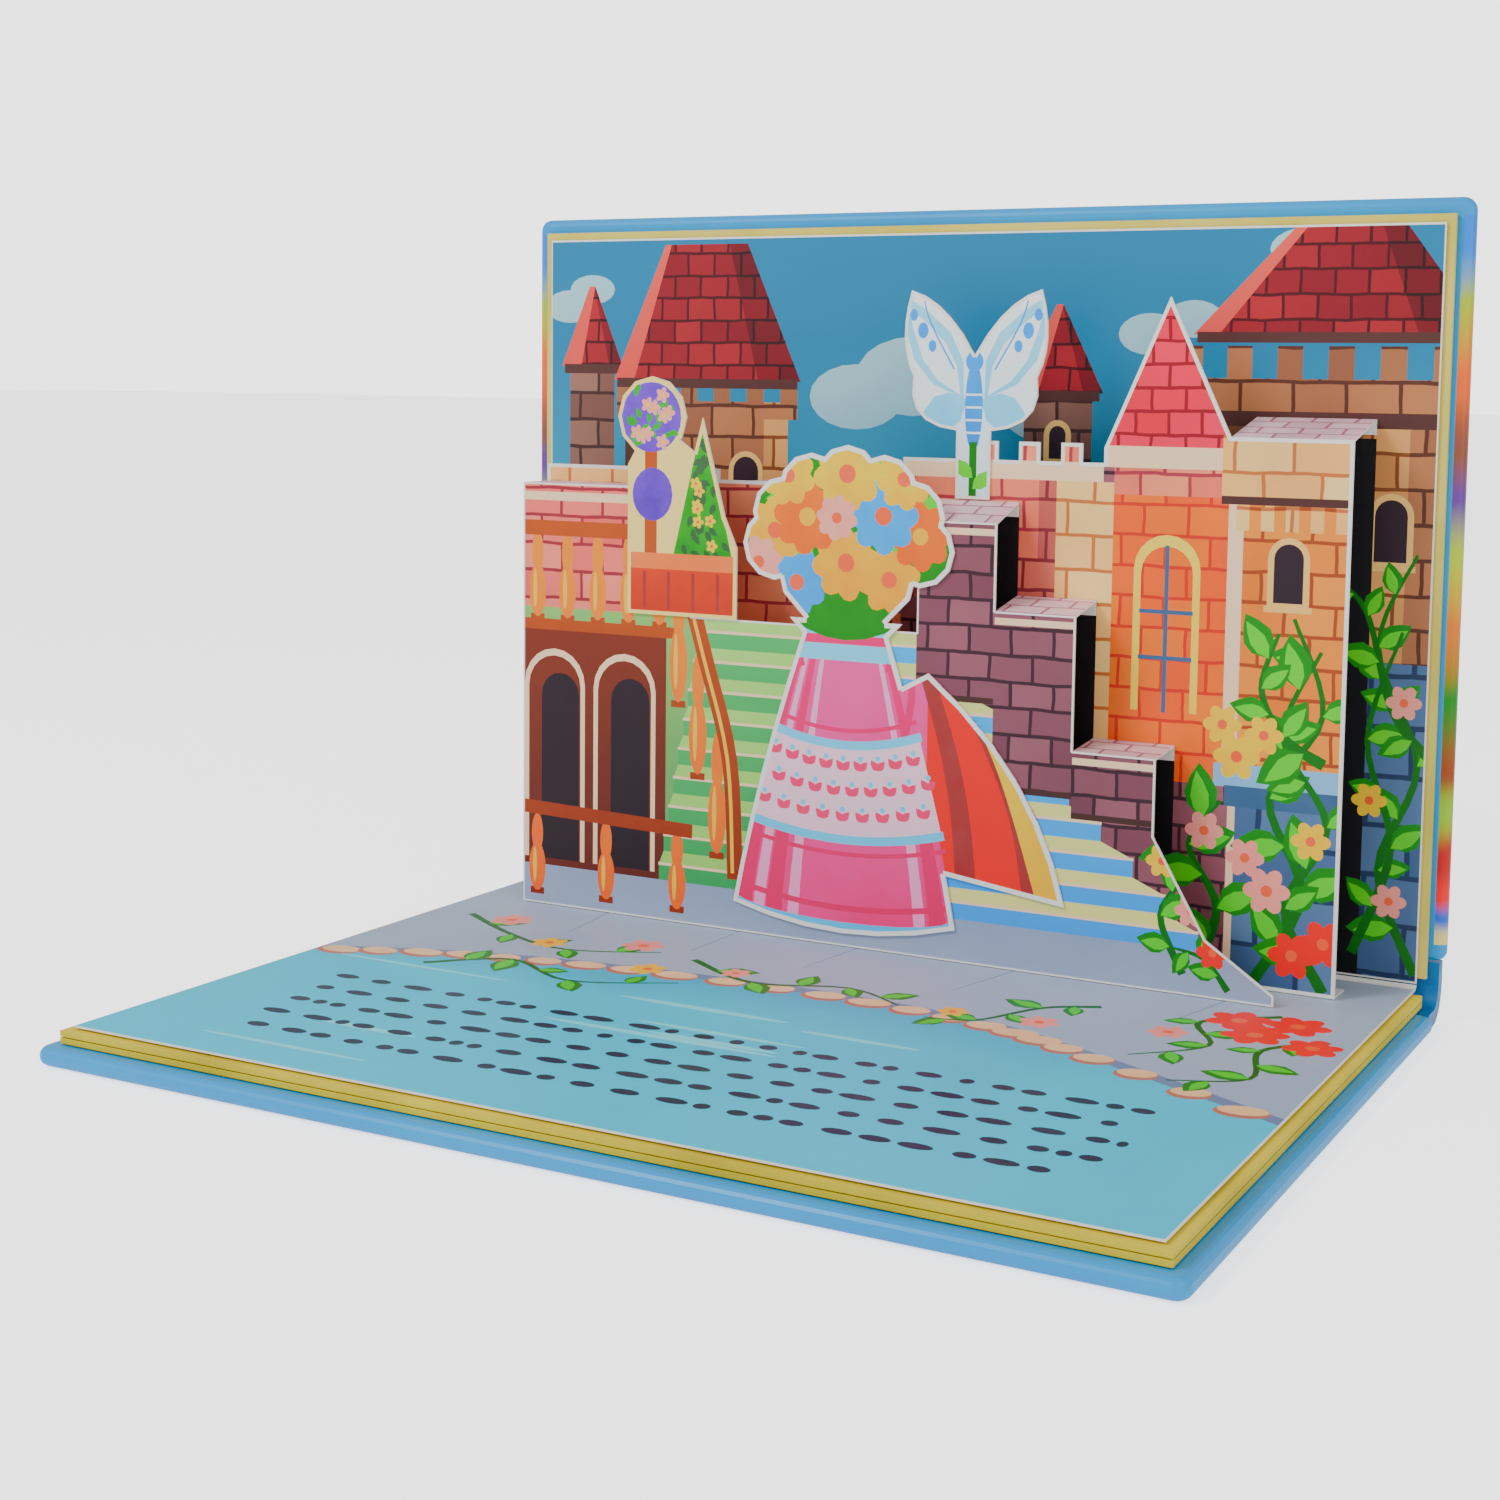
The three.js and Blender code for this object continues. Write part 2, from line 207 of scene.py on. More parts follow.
# Bands of the front cover's picture from its foot to its head: share of its height, colour
COVER_BANDS = [
    (0.00, "#efe6bd"),
    (0.03, "#2d7fc4"),
    (0.07, "#e2452a"),
    (0.13, "#b22d1f"),
    (0.19, "#b7cf3a"),
    (0.24, "#a06c33"),
    (0.34, "#5c9d3c"),
    (0.43, "#d79f37"),
    (0.53, "#cfd94a"),
    (0.63, "#7d5f9c"),
    (0.68, "#9a7467"),
    (0.79, "#e0934a"),
    (0.88, "#c6cf4d"),
    (0.94, "#2f9bd4"),
]
COVER_PRINT_FOOT = 0.0205
COVER_PRINT_HEAD = 0.2068
COVER_PRINT_SIDE = 0.1385
BAND_RIPPLE = 0.016
BAND_RIPPLE_SCALE = 38


def printed_cover_material():
    """The film with the picture's bands on the cover's side edges."""
    material = film_material("front_cover_film", COVER_BLUE, COVER_DEEP_BLUE)
    tree = material.node_tree
    surface = tree.nodes["Principled BSDF"].inputs["Base Color"]
    film_colour = surface.links[0].from_socket
    place = piece_place(tree)
    axes = add_node(tree, "SeparateXYZ", {"Vector": place}).outputs
    ripple = noise(tree, place, BAND_RIPPLE_SCALE)
    share = add_node(
        tree,
        "MapRange",
        {
            "Value": calculate(tree, "MULTIPLY_ADD", ripple, BAND_RIPPLE, axes["Z"]),
            "From Min": COVER_PRINT_FOOT + BAND_RIPPLE / 2,
            "From Max": COVER_PRINT_HEAD + BAND_RIPPLE / 2,
        },
    )
    ramp = add_node(tree, "ValToRGB", {"Fac": share.outputs["Result"]})
    ramp.color_ramp.interpolation = "EASE"
    stops = ramp.color_ramp.elements
    for stop, (position, colour) in zip(stops, (COVER_BANDS[0], COVER_BANDS[-1])):
        stop.position, stop.color = position, ink_colour(colour)
    for position, colour in COVER_BANDS[1:-1]:
        stops.new(position).color = ink_colour(colour)
    side = calculate(tree, "ABSOLUTE", axes["X"])
    outside = calculate(tree, "GREATER_THAN", side, COVER_PRINT_SIDE)
    above_foot = calculate(tree, "GREATER_THAN", axes["Z"], COVER_PRINT_FOOT)
    below_head = calculate(tree, "LESS_THAN", axes["Z"], COVER_PRINT_HEAD)
    tall = calculate(tree, "MULTIPLY", below_head, above_foot)
    printed = calculate(tree, "MULTIPLY", outside, tall)
    tree.links.new(mixed(tree, printed, film_colour, ramp.outputs["Color"]), surface)
    return material


def give(piece, material):
    """The piece is all of this material."""
    piece.data.materials.clear()
    piece.data.materials.append(material)


give(nodes["lower_cover"], film_material("back_cover_film", COVER_BLUE, COVER_DEEP_BLUE))
give(nodes["upper_cover"], printed_cover_material())

# Spine. The same film over a soft strip of foam, glued to both covers. A copy of its solid takes
# the film, and the CAD node is hidden.

MM = 0.001
GUTTER_Y = 0.10475
PAGE_LEVEL = 0.0089
SPINE_BLUE = "#0098bc"
SPINE_DEEP_BLUE = "#007ca8"
SMOOTH_ANGLE = 40
MERGE_DISTANCE = 0.00001


def merged_copy(node, name):
    """A copy of a CAD node's mesh as a piece of its own, with its double points merged."""
    piece = bpy.data.objects.new(name, nodes[node].data.copy())
    bpy.context.scene.collection.objects.link(piece)
    shell = bmesh.new()
    shell.from_mesh(piece.data)
    bmesh.ops.remove_doubles(shell, verts=shell.verts, dist=MERGE_DISTANCE)
    shell.to_mesh(piece.data)
    shell.free()
    return piece


def select_only(piece):
    """Deselects everything else, and makes the piece active."""
    bpy.ops.object.select_all(action="DESELECT")
    piece.select_set(True)
    bpy.context.view_layer.objects.active = piece


def smooth(piece):
    """The piece is shaded smooth, apart from its sharp edges."""
    select_only(piece)
    bpy.ops.object.shade_smooth_by_angle(angle=math.radians(SMOOTH_ANGLE))


spine = merged_copy("spine", "spine_wrap")
give(spine, film_material("spine_film", SPINE_BLUE, SPINE_DEEP_BLUE))
smooth(spine)
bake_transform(spine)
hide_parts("spine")

# Leaves. Thick boards of the page block between cover and page. Their printed faces show at the
# edges as thin lines of cream, yellow and olive.

LEAF_ROUGHNESS = 0.6
LAYER_WAVES = 14000
LAYER_CONTRAST = 0.12
LAYER_STRENGTH = 0.15
LAYER_DEPTH = 0.0001
PATCH_SCALE = 28


def layered_group():
    """The edge of pasted paper: fine layers along one axis over two colours."""
    group, given, result = new_group(
        "pasted_layers",
        [
            ("Light", "NodeSocketColor", srgb("#efe3b0")),
            ("Dark", "NodeSocketColor", srgb("#a8a052")),
            ("Along", "NodeSocketVector", (0, 0, 1)),
        ],
        [("Color", "NodeSocketColor"), ("Height", "NodeSocketFloat")],
    )
    place = piece_place(group)
    inputs = {0: place, 1: given["Along"]}
    depth = add_node(group, "VectorMath", inputs, operation="DOT_PRODUCT").outputs["Value"]
    wave = calculate(group, "SINE", calculate(group, "MULTIPLY", depth, LAYER_WAVES))
    patches = noise(group, place, PATCH_SCALE, 4)
    share = calculate(group, "MULTIPLY_ADD", wave, LAYER_CONTRAST, patches)
    colour = mixed(group, share, given["Light"], given["Dark"])
    group.links.new(colour, result.inputs["Color"])
    group.links.new(wave, result.inputs["Height"])
    return group


pasted_layers = layered_group()


def leaf_material(name, light, dark, along):
    """Board edge in two colours, layered along an axis."""
    values = {"Light": ink_colour(light), "Dark": ink_colour(dark), "Along": along}
    material, layers = patterned_material(name, pasted_layers, values, LEAF_ROUGHNESS)
    raise_pattern(material, layers, LAYER_STRENGTH, LAYER_DEPTH)
    return material


give(nodes["lower_leaves"], leaf_material("lower_leaf_board", "#f4e8a6", "#b4ab58", (0, 0, 1)))
give(nodes["upper_leaf"], leaf_material("upper_leaf_board", "#f6edc4", "#c9c27c", (0, 1, 0)))

# Lower page. A sheet of white art paper, pasted over the leaves. Its ink is a skin of coloured
# fields: a garden pond, a paved bank, sprigs of flowers, and reading matter shown as bars.

INK_THICKNESS = 0.00008
INK_LIFT = 0.000005
INK_ROUGHNESS = 0.5
INK_COAT = 0.06
INK_COAT_ROUGHNESS = 0.2
INK_TINT = 0.06
PAPER_WHITE = "#f4f2ec"
PAPER_SHADE = "#d9d5ca"
PAPER_ROUGHNESS = 0.5
PAPER_COAT = 0.1
PAPER_COAT_ROUGHNESS = 0.3
GRAIN_SCALE = 900
GRAIN_STRENGTH = 0.3
BLOCK_WAVER = 0.0014
BLOCK_WAVER_SCALE = 90
JOINT_SOFTNESS = 0.3
TONE_PATCH_SCALE = 26
TONE_PATCH_RANGE = (0.72, 1.28)


def paper_material(name, colour):
    """White coated card with a faint grain."""
    material, shader = new_material(name, PAPER_ROUGHNESS, PAPER_COAT, PAPER_COAT_ROUGHNESS)
    tree = material.node_tree
    grain = noise(tree, piece_place(tree), GRAIN_SCALE)
    share = calculate(tree, "MULTIPLY", grain, GRAIN_STRENGTH)
    shade = mixed(tree, share, srgb(colour), srgb(PAPER_SHADE))
    tree.links.new(shade, shader.inputs["Base Color"])
    return material


paper = paper_material("art_paper", PAPER_WHITE)


def print_place(tree):
    """The place on a print: the place itself, its X, and its height as Y + Z."""
    place = piece_place(tree)
    axes = add_node(tree, "SeparateXYZ", {"Vector": place}).outputs
    return place, axes["X"], calculate(tree, "ADD", axes["Y"], axes["Z"])


def field_group():
    """A painted field: two colours that change with height, and a brushed mottle."""
    group, given, result = new_group(
        "painted_field",
        [
            ("Foot", "NodeSocketColor", (0, 0, 0, 1)),
            ("Head", "NodeSocketColor", (1, 1, 1, 1)),
            ("From", "NodeSocketFloat", 0.0),
            ("To", "NodeSocketFloat", 1.0),
            ("Mottle", "NodeSocketFloat", 0.2),
            ("Scale", "NodeSocketFloat", 60.0),
        ],
        [("Color", "NodeSocketColor")],
    )
    place, _, height = print_place(group)
    inputs = {"Value": height, "From Min": given["From"], "From Max": given["To"]}
    span = add_node(group, "MapRange", inputs).outputs["Result"]
    brush = calculate(group, "SUBTRACT", noise(group, place, given["Scale"], 4), 0.5)
    share = calculate(group, "MULTIPLY_ADD", brush, given["Mottle"], span, use_clamp=True)
    colour = mixed(group, share, given["Foot"], given["Head"])
    group.links.new(colour, result.inputs["Color"])
    return group


def masonry_group():
    """Painted courses of blocks in two colours, with joints that waver and broad random patches of
    lighter and darker tone.
    """
    group, given, result = new_group(
        "painted_masonry",
        [
            ("Light", "NodeSocketColor", (1, 1, 1, 1)),
            ("Dark", "NodeSocketColor", (0, 0, 0, 1)),
            ("Joint", "NodeSocketColor", (0, 0, 0, 1)),
            ("Width", "NodeSocketFloat", 0.013),
            ("Height", "NodeSocketFloat", 0.0075),
            ("Gap", "NodeSocketFloat", 0.0005),
        ],
        [("Color", "NodeSocketColor")],
    )
    place, across, height = print_place(group)
    flat = add_node(group, "CombineXYZ", {"X": across, "Y": height})
    waver = add_node(group, "TexNoise", {"Vector": place, "Scale": BLOCK_WAVER_SCALE})
    nudged = add_node(
        group,
        "VectorMath",
        {0: waver.outputs["Color"], 1: (BLOCK_WAVER, BLOCK_WAVER, 0), 2: flat.outputs["Vector"]},
        operation="MULTIPLY_ADD",
    )
    courses = add_node(
        group,
        "TexBrick",
        {
            "Vector": nudged.outputs["Vector"],
            "Scale": 1,
            "Bias": 0.0,
            "Color1": given["Light"],
            "Color2": given["Dark"],
            "Mortar": given["Joint"],
            "Mortar Size": given["Gap"],
            "Mortar Smooth": JOINT_SOFTNESS,
            "Brick Width": given["Width"],
            "Row Height": given["Height"],
        },
    )
    # Broad patches of lighter and darker tone, spread at random over the courses.
    tone_patches = noise(group, place, TONE_PATCH_SCALE, 6)
    inputs = {"Value": tone_patches, "To Min": TONE_PATCH_RANGE[0], "To Max": TONE_PATCH_RANGE[1]}
    tone = add_node(group, "MapRange", inputs)
    inputs = {0: courses.outputs["Color"], "Scale": tone.outputs["Result"]}
    toned = add_node(group, "VectorMath", inputs, operation="SCALE")
    group.links.new(toned.outputs["Vector"], result.inputs["Color"])
    return group


painted_field = field_group()
painted_masonry = masonry_group()
inks = {"paper": paper}


def tint(colour):
    """The colour with a little white in it."""
    return (*(c + INK_TINT * (1 - c) for c in colour[:3]), 1.0)


def keep_ink(name, group, values):
    """The ink of this name, in a painted pattern."""
    inks[name], _ = patterned_material(
        f"ink_{name}", group, values, INK_ROUGHNESS, INK_COAT, INK_COAT_ROUGHNESS
    )


def ink(name, foot, head=None, start=-0.1, end=0.4, mottle=1.2, scale=60.0):
    """A printed field, from the foot colour to the head colour between two heights (y + z)."""
    values = {
        "Foot": ink_colour(foot),
        "Head": ink_colour(head) if head else tint(ink_colour(foot)),
        "From": start,
        "To": end,
        "Mottle": mottle,
        "Scale": scale,
    }
    keep_ink(name, painted_field, values)


def masonry_ink(name, light, dark, joint, width=13.0, height=7.5, gap=0.5):
    """Printed courses of blocks. Width, height and gap are in millimetres."""
    values = {
        "Light": ink_colour(light),
        "Dark": ink_colour(dark),
        "Joint": ink_colour(joint),
        "Width": width * MM,
        "Height": height * MM,
        "Gap": gap * MM,
    }
    keep_ink(name, painted_masonry, values)


SHORTEST = 1e-6


def block(left, foot, right, head):
    """A rectangle. Pictures are drawn in millimetres: across the book, and up or back."""
    return [(left, foot), (right, foot), (right, head), (left, head)]


def oval(x, z, across, up, turn=0.0, points=20):
    """An ellipse with half sizes across and up, turned by degrees."""
    c, s = math.cos(math.radians(turn)), math.sin(math.radians(turn))
    ring = []
    for n in range(points):
        angle = 2 * math.pi * n / points
        u, v = across * math.cos(angle), up * math.sin(angle)
        ring.append((x + c * u - s * v, z + s * u + c * v))
    return ring


def leaf(x, z, length, width, turn):
    """A pointed leaf from its stalk end, growing along the turn in degrees."""
    c, s = math.cos(math.radians(turn)), math.sin(math.radians(turn))
    half = [(0.25, 0.42), (0.5, 0.5), (0.78, 0.28)]
    path = [(0, 0)] + half + [(1, 0)] + [(u, -v) for u, v in reversed(half)]
    return [
        (x + length * u * c - width * v * s, z + length * u * s + width * v * c)
        for u, v in path
    ]


def curve(points, steps=6):
    """A smooth line through the points."""
    line = []
    ends = [points[0]] + list(points) + [points[-1]]
    for a, b, c, d in zip(ends, ends[1:], ends[2:], ends[3:]):
        for n in range(steps):
            t = n / steps
            line.append(
                tuple(
                    0.5
                    * (
                        2 * b[k]
                        + (c[k] - a[k]) * t
                        + (2 * a[k] - 5 * b[k] + 4 * c[k] - d[k]) * t * t
                        + (3 * b[k] - a[k] - 3 * c[k] + d[k]) * t**3
                    )
                    for k in (0, 1)
                )
            )
    line.append(tuple(points[-1]))
    return line


def strokes(line, wide, thin, colour):
    """A tapering brush line as short overlapping quads."""
    shapes = []
    for n, ((x0, z0), (x1, z1)) in enumerate(zip(line, line[1:])):
        long = math.hypot(x1 - x0, z1 - z0)
        if long < SHORTEST:
            continue
        share = n / max(1, len(line) - 2)
        half = 0.5 * (wide + (thin - wide) * share)
        u, v = (x1 - x0) / long, (z1 - z0) / long
        x0, z0, x1, z1 = x0 - u * half / 2, z0 - v * half / 2, x1 + u * half / 2, z1 + v * half / 2
        shapes.append(
            (
                [
                    (x0 + v * half, z0 - u * half),
                    (x1 + v * half, z1 - u * half),
                    (x1 - v * half, z1 + u * half),
                    (x0 - v * half, z0 + u * half),
                ],
                colour,
            )
        )
    return shapes


def blossom(x, z, radius, petals, petal, heart, turn=0.0):
    """A flower: a ring of petals round a heart."""
    shapes = []
    for n in range(petals):
        angle = turn + 360 * n / petals
        px = x + 0.55 * radius * math.cos(math.radians(angle))
        pz = z + 0.55 * radius * math.sin(math.radians(angle))
        shapes.append((oval(px, pz, 0.5 * radius, 0.36 * radius, angle, 12), petal))
    shapes.append((oval(x, z, 0.26 * radius, 0.26 * radius, 0, 10), heart))
    return shapes


def sprig(points, wide, leaf_length, draw, step=4):
    """A vine with leaves on both sides."""
    line = curve(points)
    shapes = strokes(line, wide, wide * 0.35, "vine")
    for n in range(step, len(line) - 1, step):
        (x0, z0), (x1, z1) = line[n], line[n + 1]
        heading = math.degrees(math.atan2(z1 - z0, x1 - x0))
        side = 1 if (n // step) % 2 else -1
        turn = heading + side * draw.uniform(40, 75)
        size = leaf_length * draw.uniform(0.75, 1.15)
        shapes.append((leaf(x0, z0, size, size * 0.62, turn), "leaf_dark"))
        shapes.append((leaf(x0, z0, size * 0.86, size * 0.34, turn + 4 * side), "leaf_light"))
    return shapes


def counter_clockwise(points):
    """The points in the order that gives a face its front."""
    area = sum(
        x0 * z1 - x1 * z0
        for (x0, z0), (x1, z1) in zip(points, points[1:] + points[:1])
    )
    return points if area > 0 else points[::-1]


WELD = 1e-4


def printed_skin(name, outline, shapes, corner, holes=()):
    """A thin closed skin of ink. Each shape covers those before it, and the outline trims all.

    Points are in millimetres. corner turns a flat point into its place in the frame.
    """
    polygons = [counter_clockwise(list(outline))]
    polygons += [counter_clockwise(list(points)) for points, _ in shapes]
    first_hole = len(polygons)
    polygons += [counter_clockwise(list(points)) for points in holes]
    flat, faces = [], []
    for points in polygons:
        faces.append(list(range(len(flat), len(flat) + len(points))))
        flat.extend(Vector(point) for point in points)
    found = delaunay_2d_cdt(flat, [], faces, 1, WELD, True)
    points, triangles, owners = found[0], found[2], found[5]
    names = sorted({colour for _, colour in shapes})
    kept, colours = [], []
    for triangle, owner in zip(triangles, owners):
        if 0 not in owner or any(n >= first_hole for n in owner):
            continue
        top = max(owner)
        if top == 0:
            continue
        kept.append(triangle)
        colours.append(names.index(shapes[top - 1][1]))
    mesh = bpy.data.meshes.new(name)
    mesh.from_pydata([corner(x, z) for x, z in points], [], kept)
    for colour in names:
        mesh.materials.append(inks[colour])
    mesh.polygons.foreach_set("material_index", colours)
    skin = bpy.data.objects.new(name, mesh)
    bpy.context.scene.collection.objects.link(skin)
    sheet = bmesh.new()
    sheet.from_mesh(mesh)
    bmesh.ops.delete(
        sheet, geom=[v for v in sheet.verts if not v.link_faces], context="VERTS"
    )
    sheet.to_mesh(mesh)
    sheet.free()
    solidify = skin.modifiers.new("ink", "SOLIDIFY")
    solidify.thickness = INK_THICKNESS
    solidify.offset = -1
    select_only(skin)
    bpy.ops.object.modifier_apply(modifier="ink")
    return skin


give(nodes["lower_page"], paper)

# Heights, as y + z in metres, between which an ink changes from its foot to its head colour
POND_SPAN = (0.0, 0.06)
BANK_SPAN = (-0.02, 0.09)
FLOWER_SPAN = (-0.1, 0.25)

ink("water", "#7fd0e0", "#3c9dbd", *POND_SPAN, 0.5, 22)
ink("water_light", "#b5e6ee", "#9bdae6", *POND_SPAN, 0.3, 40)
ink("paving", "#b4bccb", "#c6ccd6", *BANK_SPAN, 0.9, 30)
ink("paving_shade", "#8d97ad", "#9aa4b8", *BANK_SPAN, 0.6, 40)
ink("bank_stone", "#e8cdb6", "#f6e7d2", *BANK_SPAN, 1.2, 70)
ink("bank_stone_shade", "#b98f86")
ink("vine", "#2f6b2c", "#4f8f37", *FLOWER_SPAN, 0.8, 90)
ink("leaf_dark", "#2f8a3a", "#3aa046", *FLOWER_SPAN, 1.0, 120)
ink("leaf_light", "#7ccc4e", "#a4de66", *FLOWER_SPAN, 0.8, 120)
ink("petal_red", "#e23a2c", "#f0583f", *FLOWER_SPAN, 0.8, 150)
ink("petal_pink", "#f4a6a8", "#f7c6bd", *FLOWER_SPAN, 0.8, 150)
ink("petal_yellow", "#f7c52c", "#fbe05a", *FLOWER_SPAN, 0.8, 150)
ink("heart", "#f08a24")
ink("reading", "#1b3550")

PAGE_SIDE = 134.6
PAGE_FRONT = -195.6
PAGE_REAR = -1.7
PAGE_TOP_Z = PAGE_LEVEL + INK_THICKNESS + INK_LIFT
BLEED = 140
BANK_DEPTH = 4.5
BANK_LINE = [(-135, -112), (-96, -97), (-50, -88), (6, -84), (52, -88), (84, -100), (135, -124)]
READING_ROWS = [-131, -142, -153, -164, -175]
READING_HALF_LENGTHS = [112, 109, 108, 107, 102]
READING_HEIGHT = 3.6
READING_GAP = 1.4


def lower_page_picture():
    """Pond, bank and flowers. The picture bleeds past the page, and the skin trims it."""
    draw = random.Random(11)
    shapes = [(block(-PAGE_SIDE, PAGE_FRONT, PAGE_SIDE, PAGE_REAR), "water")]
    for _ in range(9):
        x, y = draw.uniform(-120, 120), draw.uniform(-185, -95)
        glint = oval(x, y, draw.uniform(14, 34), draw.uniform(0.8, 1.8), 0, 18)
        shapes.append((glint, "water_light"))
    bank = curve(BANK_LINE, 8)
    shapes.append(([(-BLEED, 0)] + bank + [(BLEED, 0)], "paving_shade"))
    raised = [(x, y + BANK_DEPTH) for x, y in bank]
    shapes.append(([(-BLEED, 0)] + raised + [(BLEED, 0)], "paving"))
    for n in range(5):
        x = -100 + 48 * n
        crack = [(x, -2), (x + draw.uniform(-9, 9), -28), (x + draw.uniform(-14, 14), -62)]
        shapes += strokes(curve(crack, 4), 0.7, 0.4, "paving_shade")
    for n in range(2, len(bank) - 2, 2):
        x, y = bank[n]
        size = draw.uniform(5.0, 6.6)
        shapes.append((oval(x, y, size, 4.0, 8, 16), "bank_stone_shade"))
        shapes.append((oval(x, y + 1.2, size * 0.9, 3.1, 8, 16), "bank_stone"))
    for row, half in zip(READING_ROWS, READING_HALF_LENGTHS):
        x = -half
        while x < half:
            for _ in range(draw.choice([1, 1, 2, 3])):
                long = min(draw.uniform(3.5, 9.0), half - x + 3.5)
                half_bar, half_tall = long / 2, READING_HEIGHT / 2
                bar = oval(x + half_bar, row + half_tall, half_bar, half_tall, 0, 12)
                shapes.append((bar, "reading"))
                x += long + READING_GAP
            x += 2 * READING_GAP
    sprigs = [
        [(-122, -58), (-98, -72), (-76, -78), (-52, -68)],
        [(-100, -108), (-82, -94), (-58, -104), (-32, -92)],
        [(-40, -70), (-16, -82), (8, -74), (26, -82)],
        [(112, -44), (96, -58), (104, -76), (90, -92)],
        [(128, -60), (116, -74), (120, -96), (104, -106)],
        [(70, -58), (58, -66), (48, -84), (36, -88)],
    ]
    for points in sprigs:
        shapes += sprig(points, 2.2, 11, draw, 3)
    for x, y, size, petal in (
        (-108, -58, 6, "petal_pink"), (-84, -74, 5, "petal_yellow"), (-60, -64, 6, "petal_pink"),
        (-46, -84, 5, "petal_yellow"), (-24, -76, 4, "petal_pink"), (104, -52, 8, "petal_red"),
        (118, -50, 8, "petal_red"), (111, -62, 8, "petal_red"), (126, -66, 7, "petal_red"),
        (92, -70, 5, "petal_pink"), (62, -78, 5, "petal_pink"), (40, -80, 4, "petal_yellow"),
    ):
        shapes += blossom(x, y, size, 6, petal, "heart", draw.uniform(0, 60))
    return shapes


lower_print = printed_skin(
    "lower_page_print",
    block(-PAGE_SIDE, PAGE_FRONT, PAGE_SIDE, PAGE_REAR),
    lower_page_picture(),
    lambda x, y: (x * MM, GUTTER_Y + y * MM, PAGE_TOP_Z),
)
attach(lower_print, "back_half")

# Upper page. The same paper, pasted to the leaf inside the front cover. It carries the far view:
# sky and cloud, hills, and the keep and round tower that stand behind the walls.

give(nodes["upper_page"], paper)

SKY_PLANE = 0.104
SKY_TOP = SKY_PLANE + 0.205
SKY_FOOT = SKY_PLANE + 0.1
STONE_SPAN = (0.1, 0.3)
ink("sky", "#62a8bc", "#0090aa", SKY_FOOT + 0.03, SKY_TOP - 0.03, 0.25, 18)
ink("cloud", "#a9c6cf", "#c9dde2", SKY_FOOT, SKY_TOP, 0.8, 30)
ink("hill", "#6c94a4", "#83a9b6", SKY_FOOT, SKY_TOP, 0.8, 30)
masonry_ink("roof_red", "#a8545a", "#8a3e4a", "#5b2430", 9, 6.5, 0.45)
masonry_ink("tan_stone", "#bd9a84", "#a07f70", "#6e5248", 14, 9, 0.6)
masonry_ink("tan_lit", "#dcbd9e", "#c4a084", "#8e6c56", 14, 9, 0.6)
masonry_ink("tan_dim", "#8e7262", "#786054", "#4c3c36", 14, 9, 0.6)
masonry_ink("roof_dim", "#8a3e48", "#6c2c38", "#441a24", 9, 6.5, 0.45)
masonry_ink("keep_stone", "#a58c84", "#886f6a", "#5a4444", 13, 8, 0.6)
masonry_ink("blue_stone", "#8596ad", "#6b7c96", "#48566f", 22, 13, 0.8)
ink("roof_light", "#c8696a", "#d88a84", SKY_FOOT, SKY_TOP, 0.5, 60)
ink("stone_shade", "#5d4644", "#6b5250", *STONE_SPAN, 0.6, 60)
ink("stone_light", "#e6c9a4", "#f1dcb8", *STONE_SPAN, 0.6, 60)
ink("window_dark", "#3a2b35", "#4d3b48", *STONE_SPAN, 0.4, 90)
ink("inner_shade", "#14161c", "#2b2c34", *STONE_SPAN, 0.3, 60)


def arch(x, foot, half, tall, steps=10):
    """A round-headed opening."""
    spring = foot + tall - half
    head = [
        (x + half * math.cos(math.pi * n / steps), spring + half * math.sin(math.pi * n / steps))
        for n in range(steps + 1)
    ]
    return [(x - half, foot), (x + half, foot)] + head


def window(x, foot, half, tall):
    """An arched window in a light stone frame."""
    return [
        (arch(x, foot - 1.4, half + 1.6, tall + 3), "stone_light"),
        (arch(x, foot, half, tall), "window_dark"),
        (block(x - half - 2.4, foot - 2.4, x + half + 2.4, foot - 0.8), "stone_light"),
    ]


def battlements(left, right, foot, tall, count, colour):
    """A parapet with square gaps."""
    pitch = (right - left) / (2 * count - 1)
    shapes = [(block(left, foot, right, foot + tall * 0.5), colour)]
    for n in range(count):
        x = left + 2 * n * pitch
        shapes.append((block(x, foot + tall * 0.45, x + pitch, foot + tall), colour))
    return shapes


SHADED_HIP = 0.22


def hipped_roof(left, right, foot, ridge_left, ridge_right, head):
    """A tiled roof with a lit hip and a dark eaves line."""
    lit = left + 7
    shade = right - SHADED_HIP * (right - left)
    ridge_shade = ridge_right - SHADED_HIP * (ridge_right - ridge_left)
    return [
        ([(left, foot), (right, foot), (ridge_right, head), (ridge_left, head)], "roof_red"),
        ([(shade, foot), (right, foot), (ridge_right, head), (ridge_shade, head)], "roof_dim"),
        ([(left, foot), (lit, foot), (ridge_left + 2, head), (ridge_left, head)], "roof_light"),
        (block(left + 1, foot - 2.2, right - 1, foot + 0.6), "stone_shade"),
    ]


def clouds(places, flatness):
    """Heaped ovals of cloud. Each place is a centre and half a width."""
    return [(oval(x, z, size, size * flatness), "cloud") for x, z, size in places]


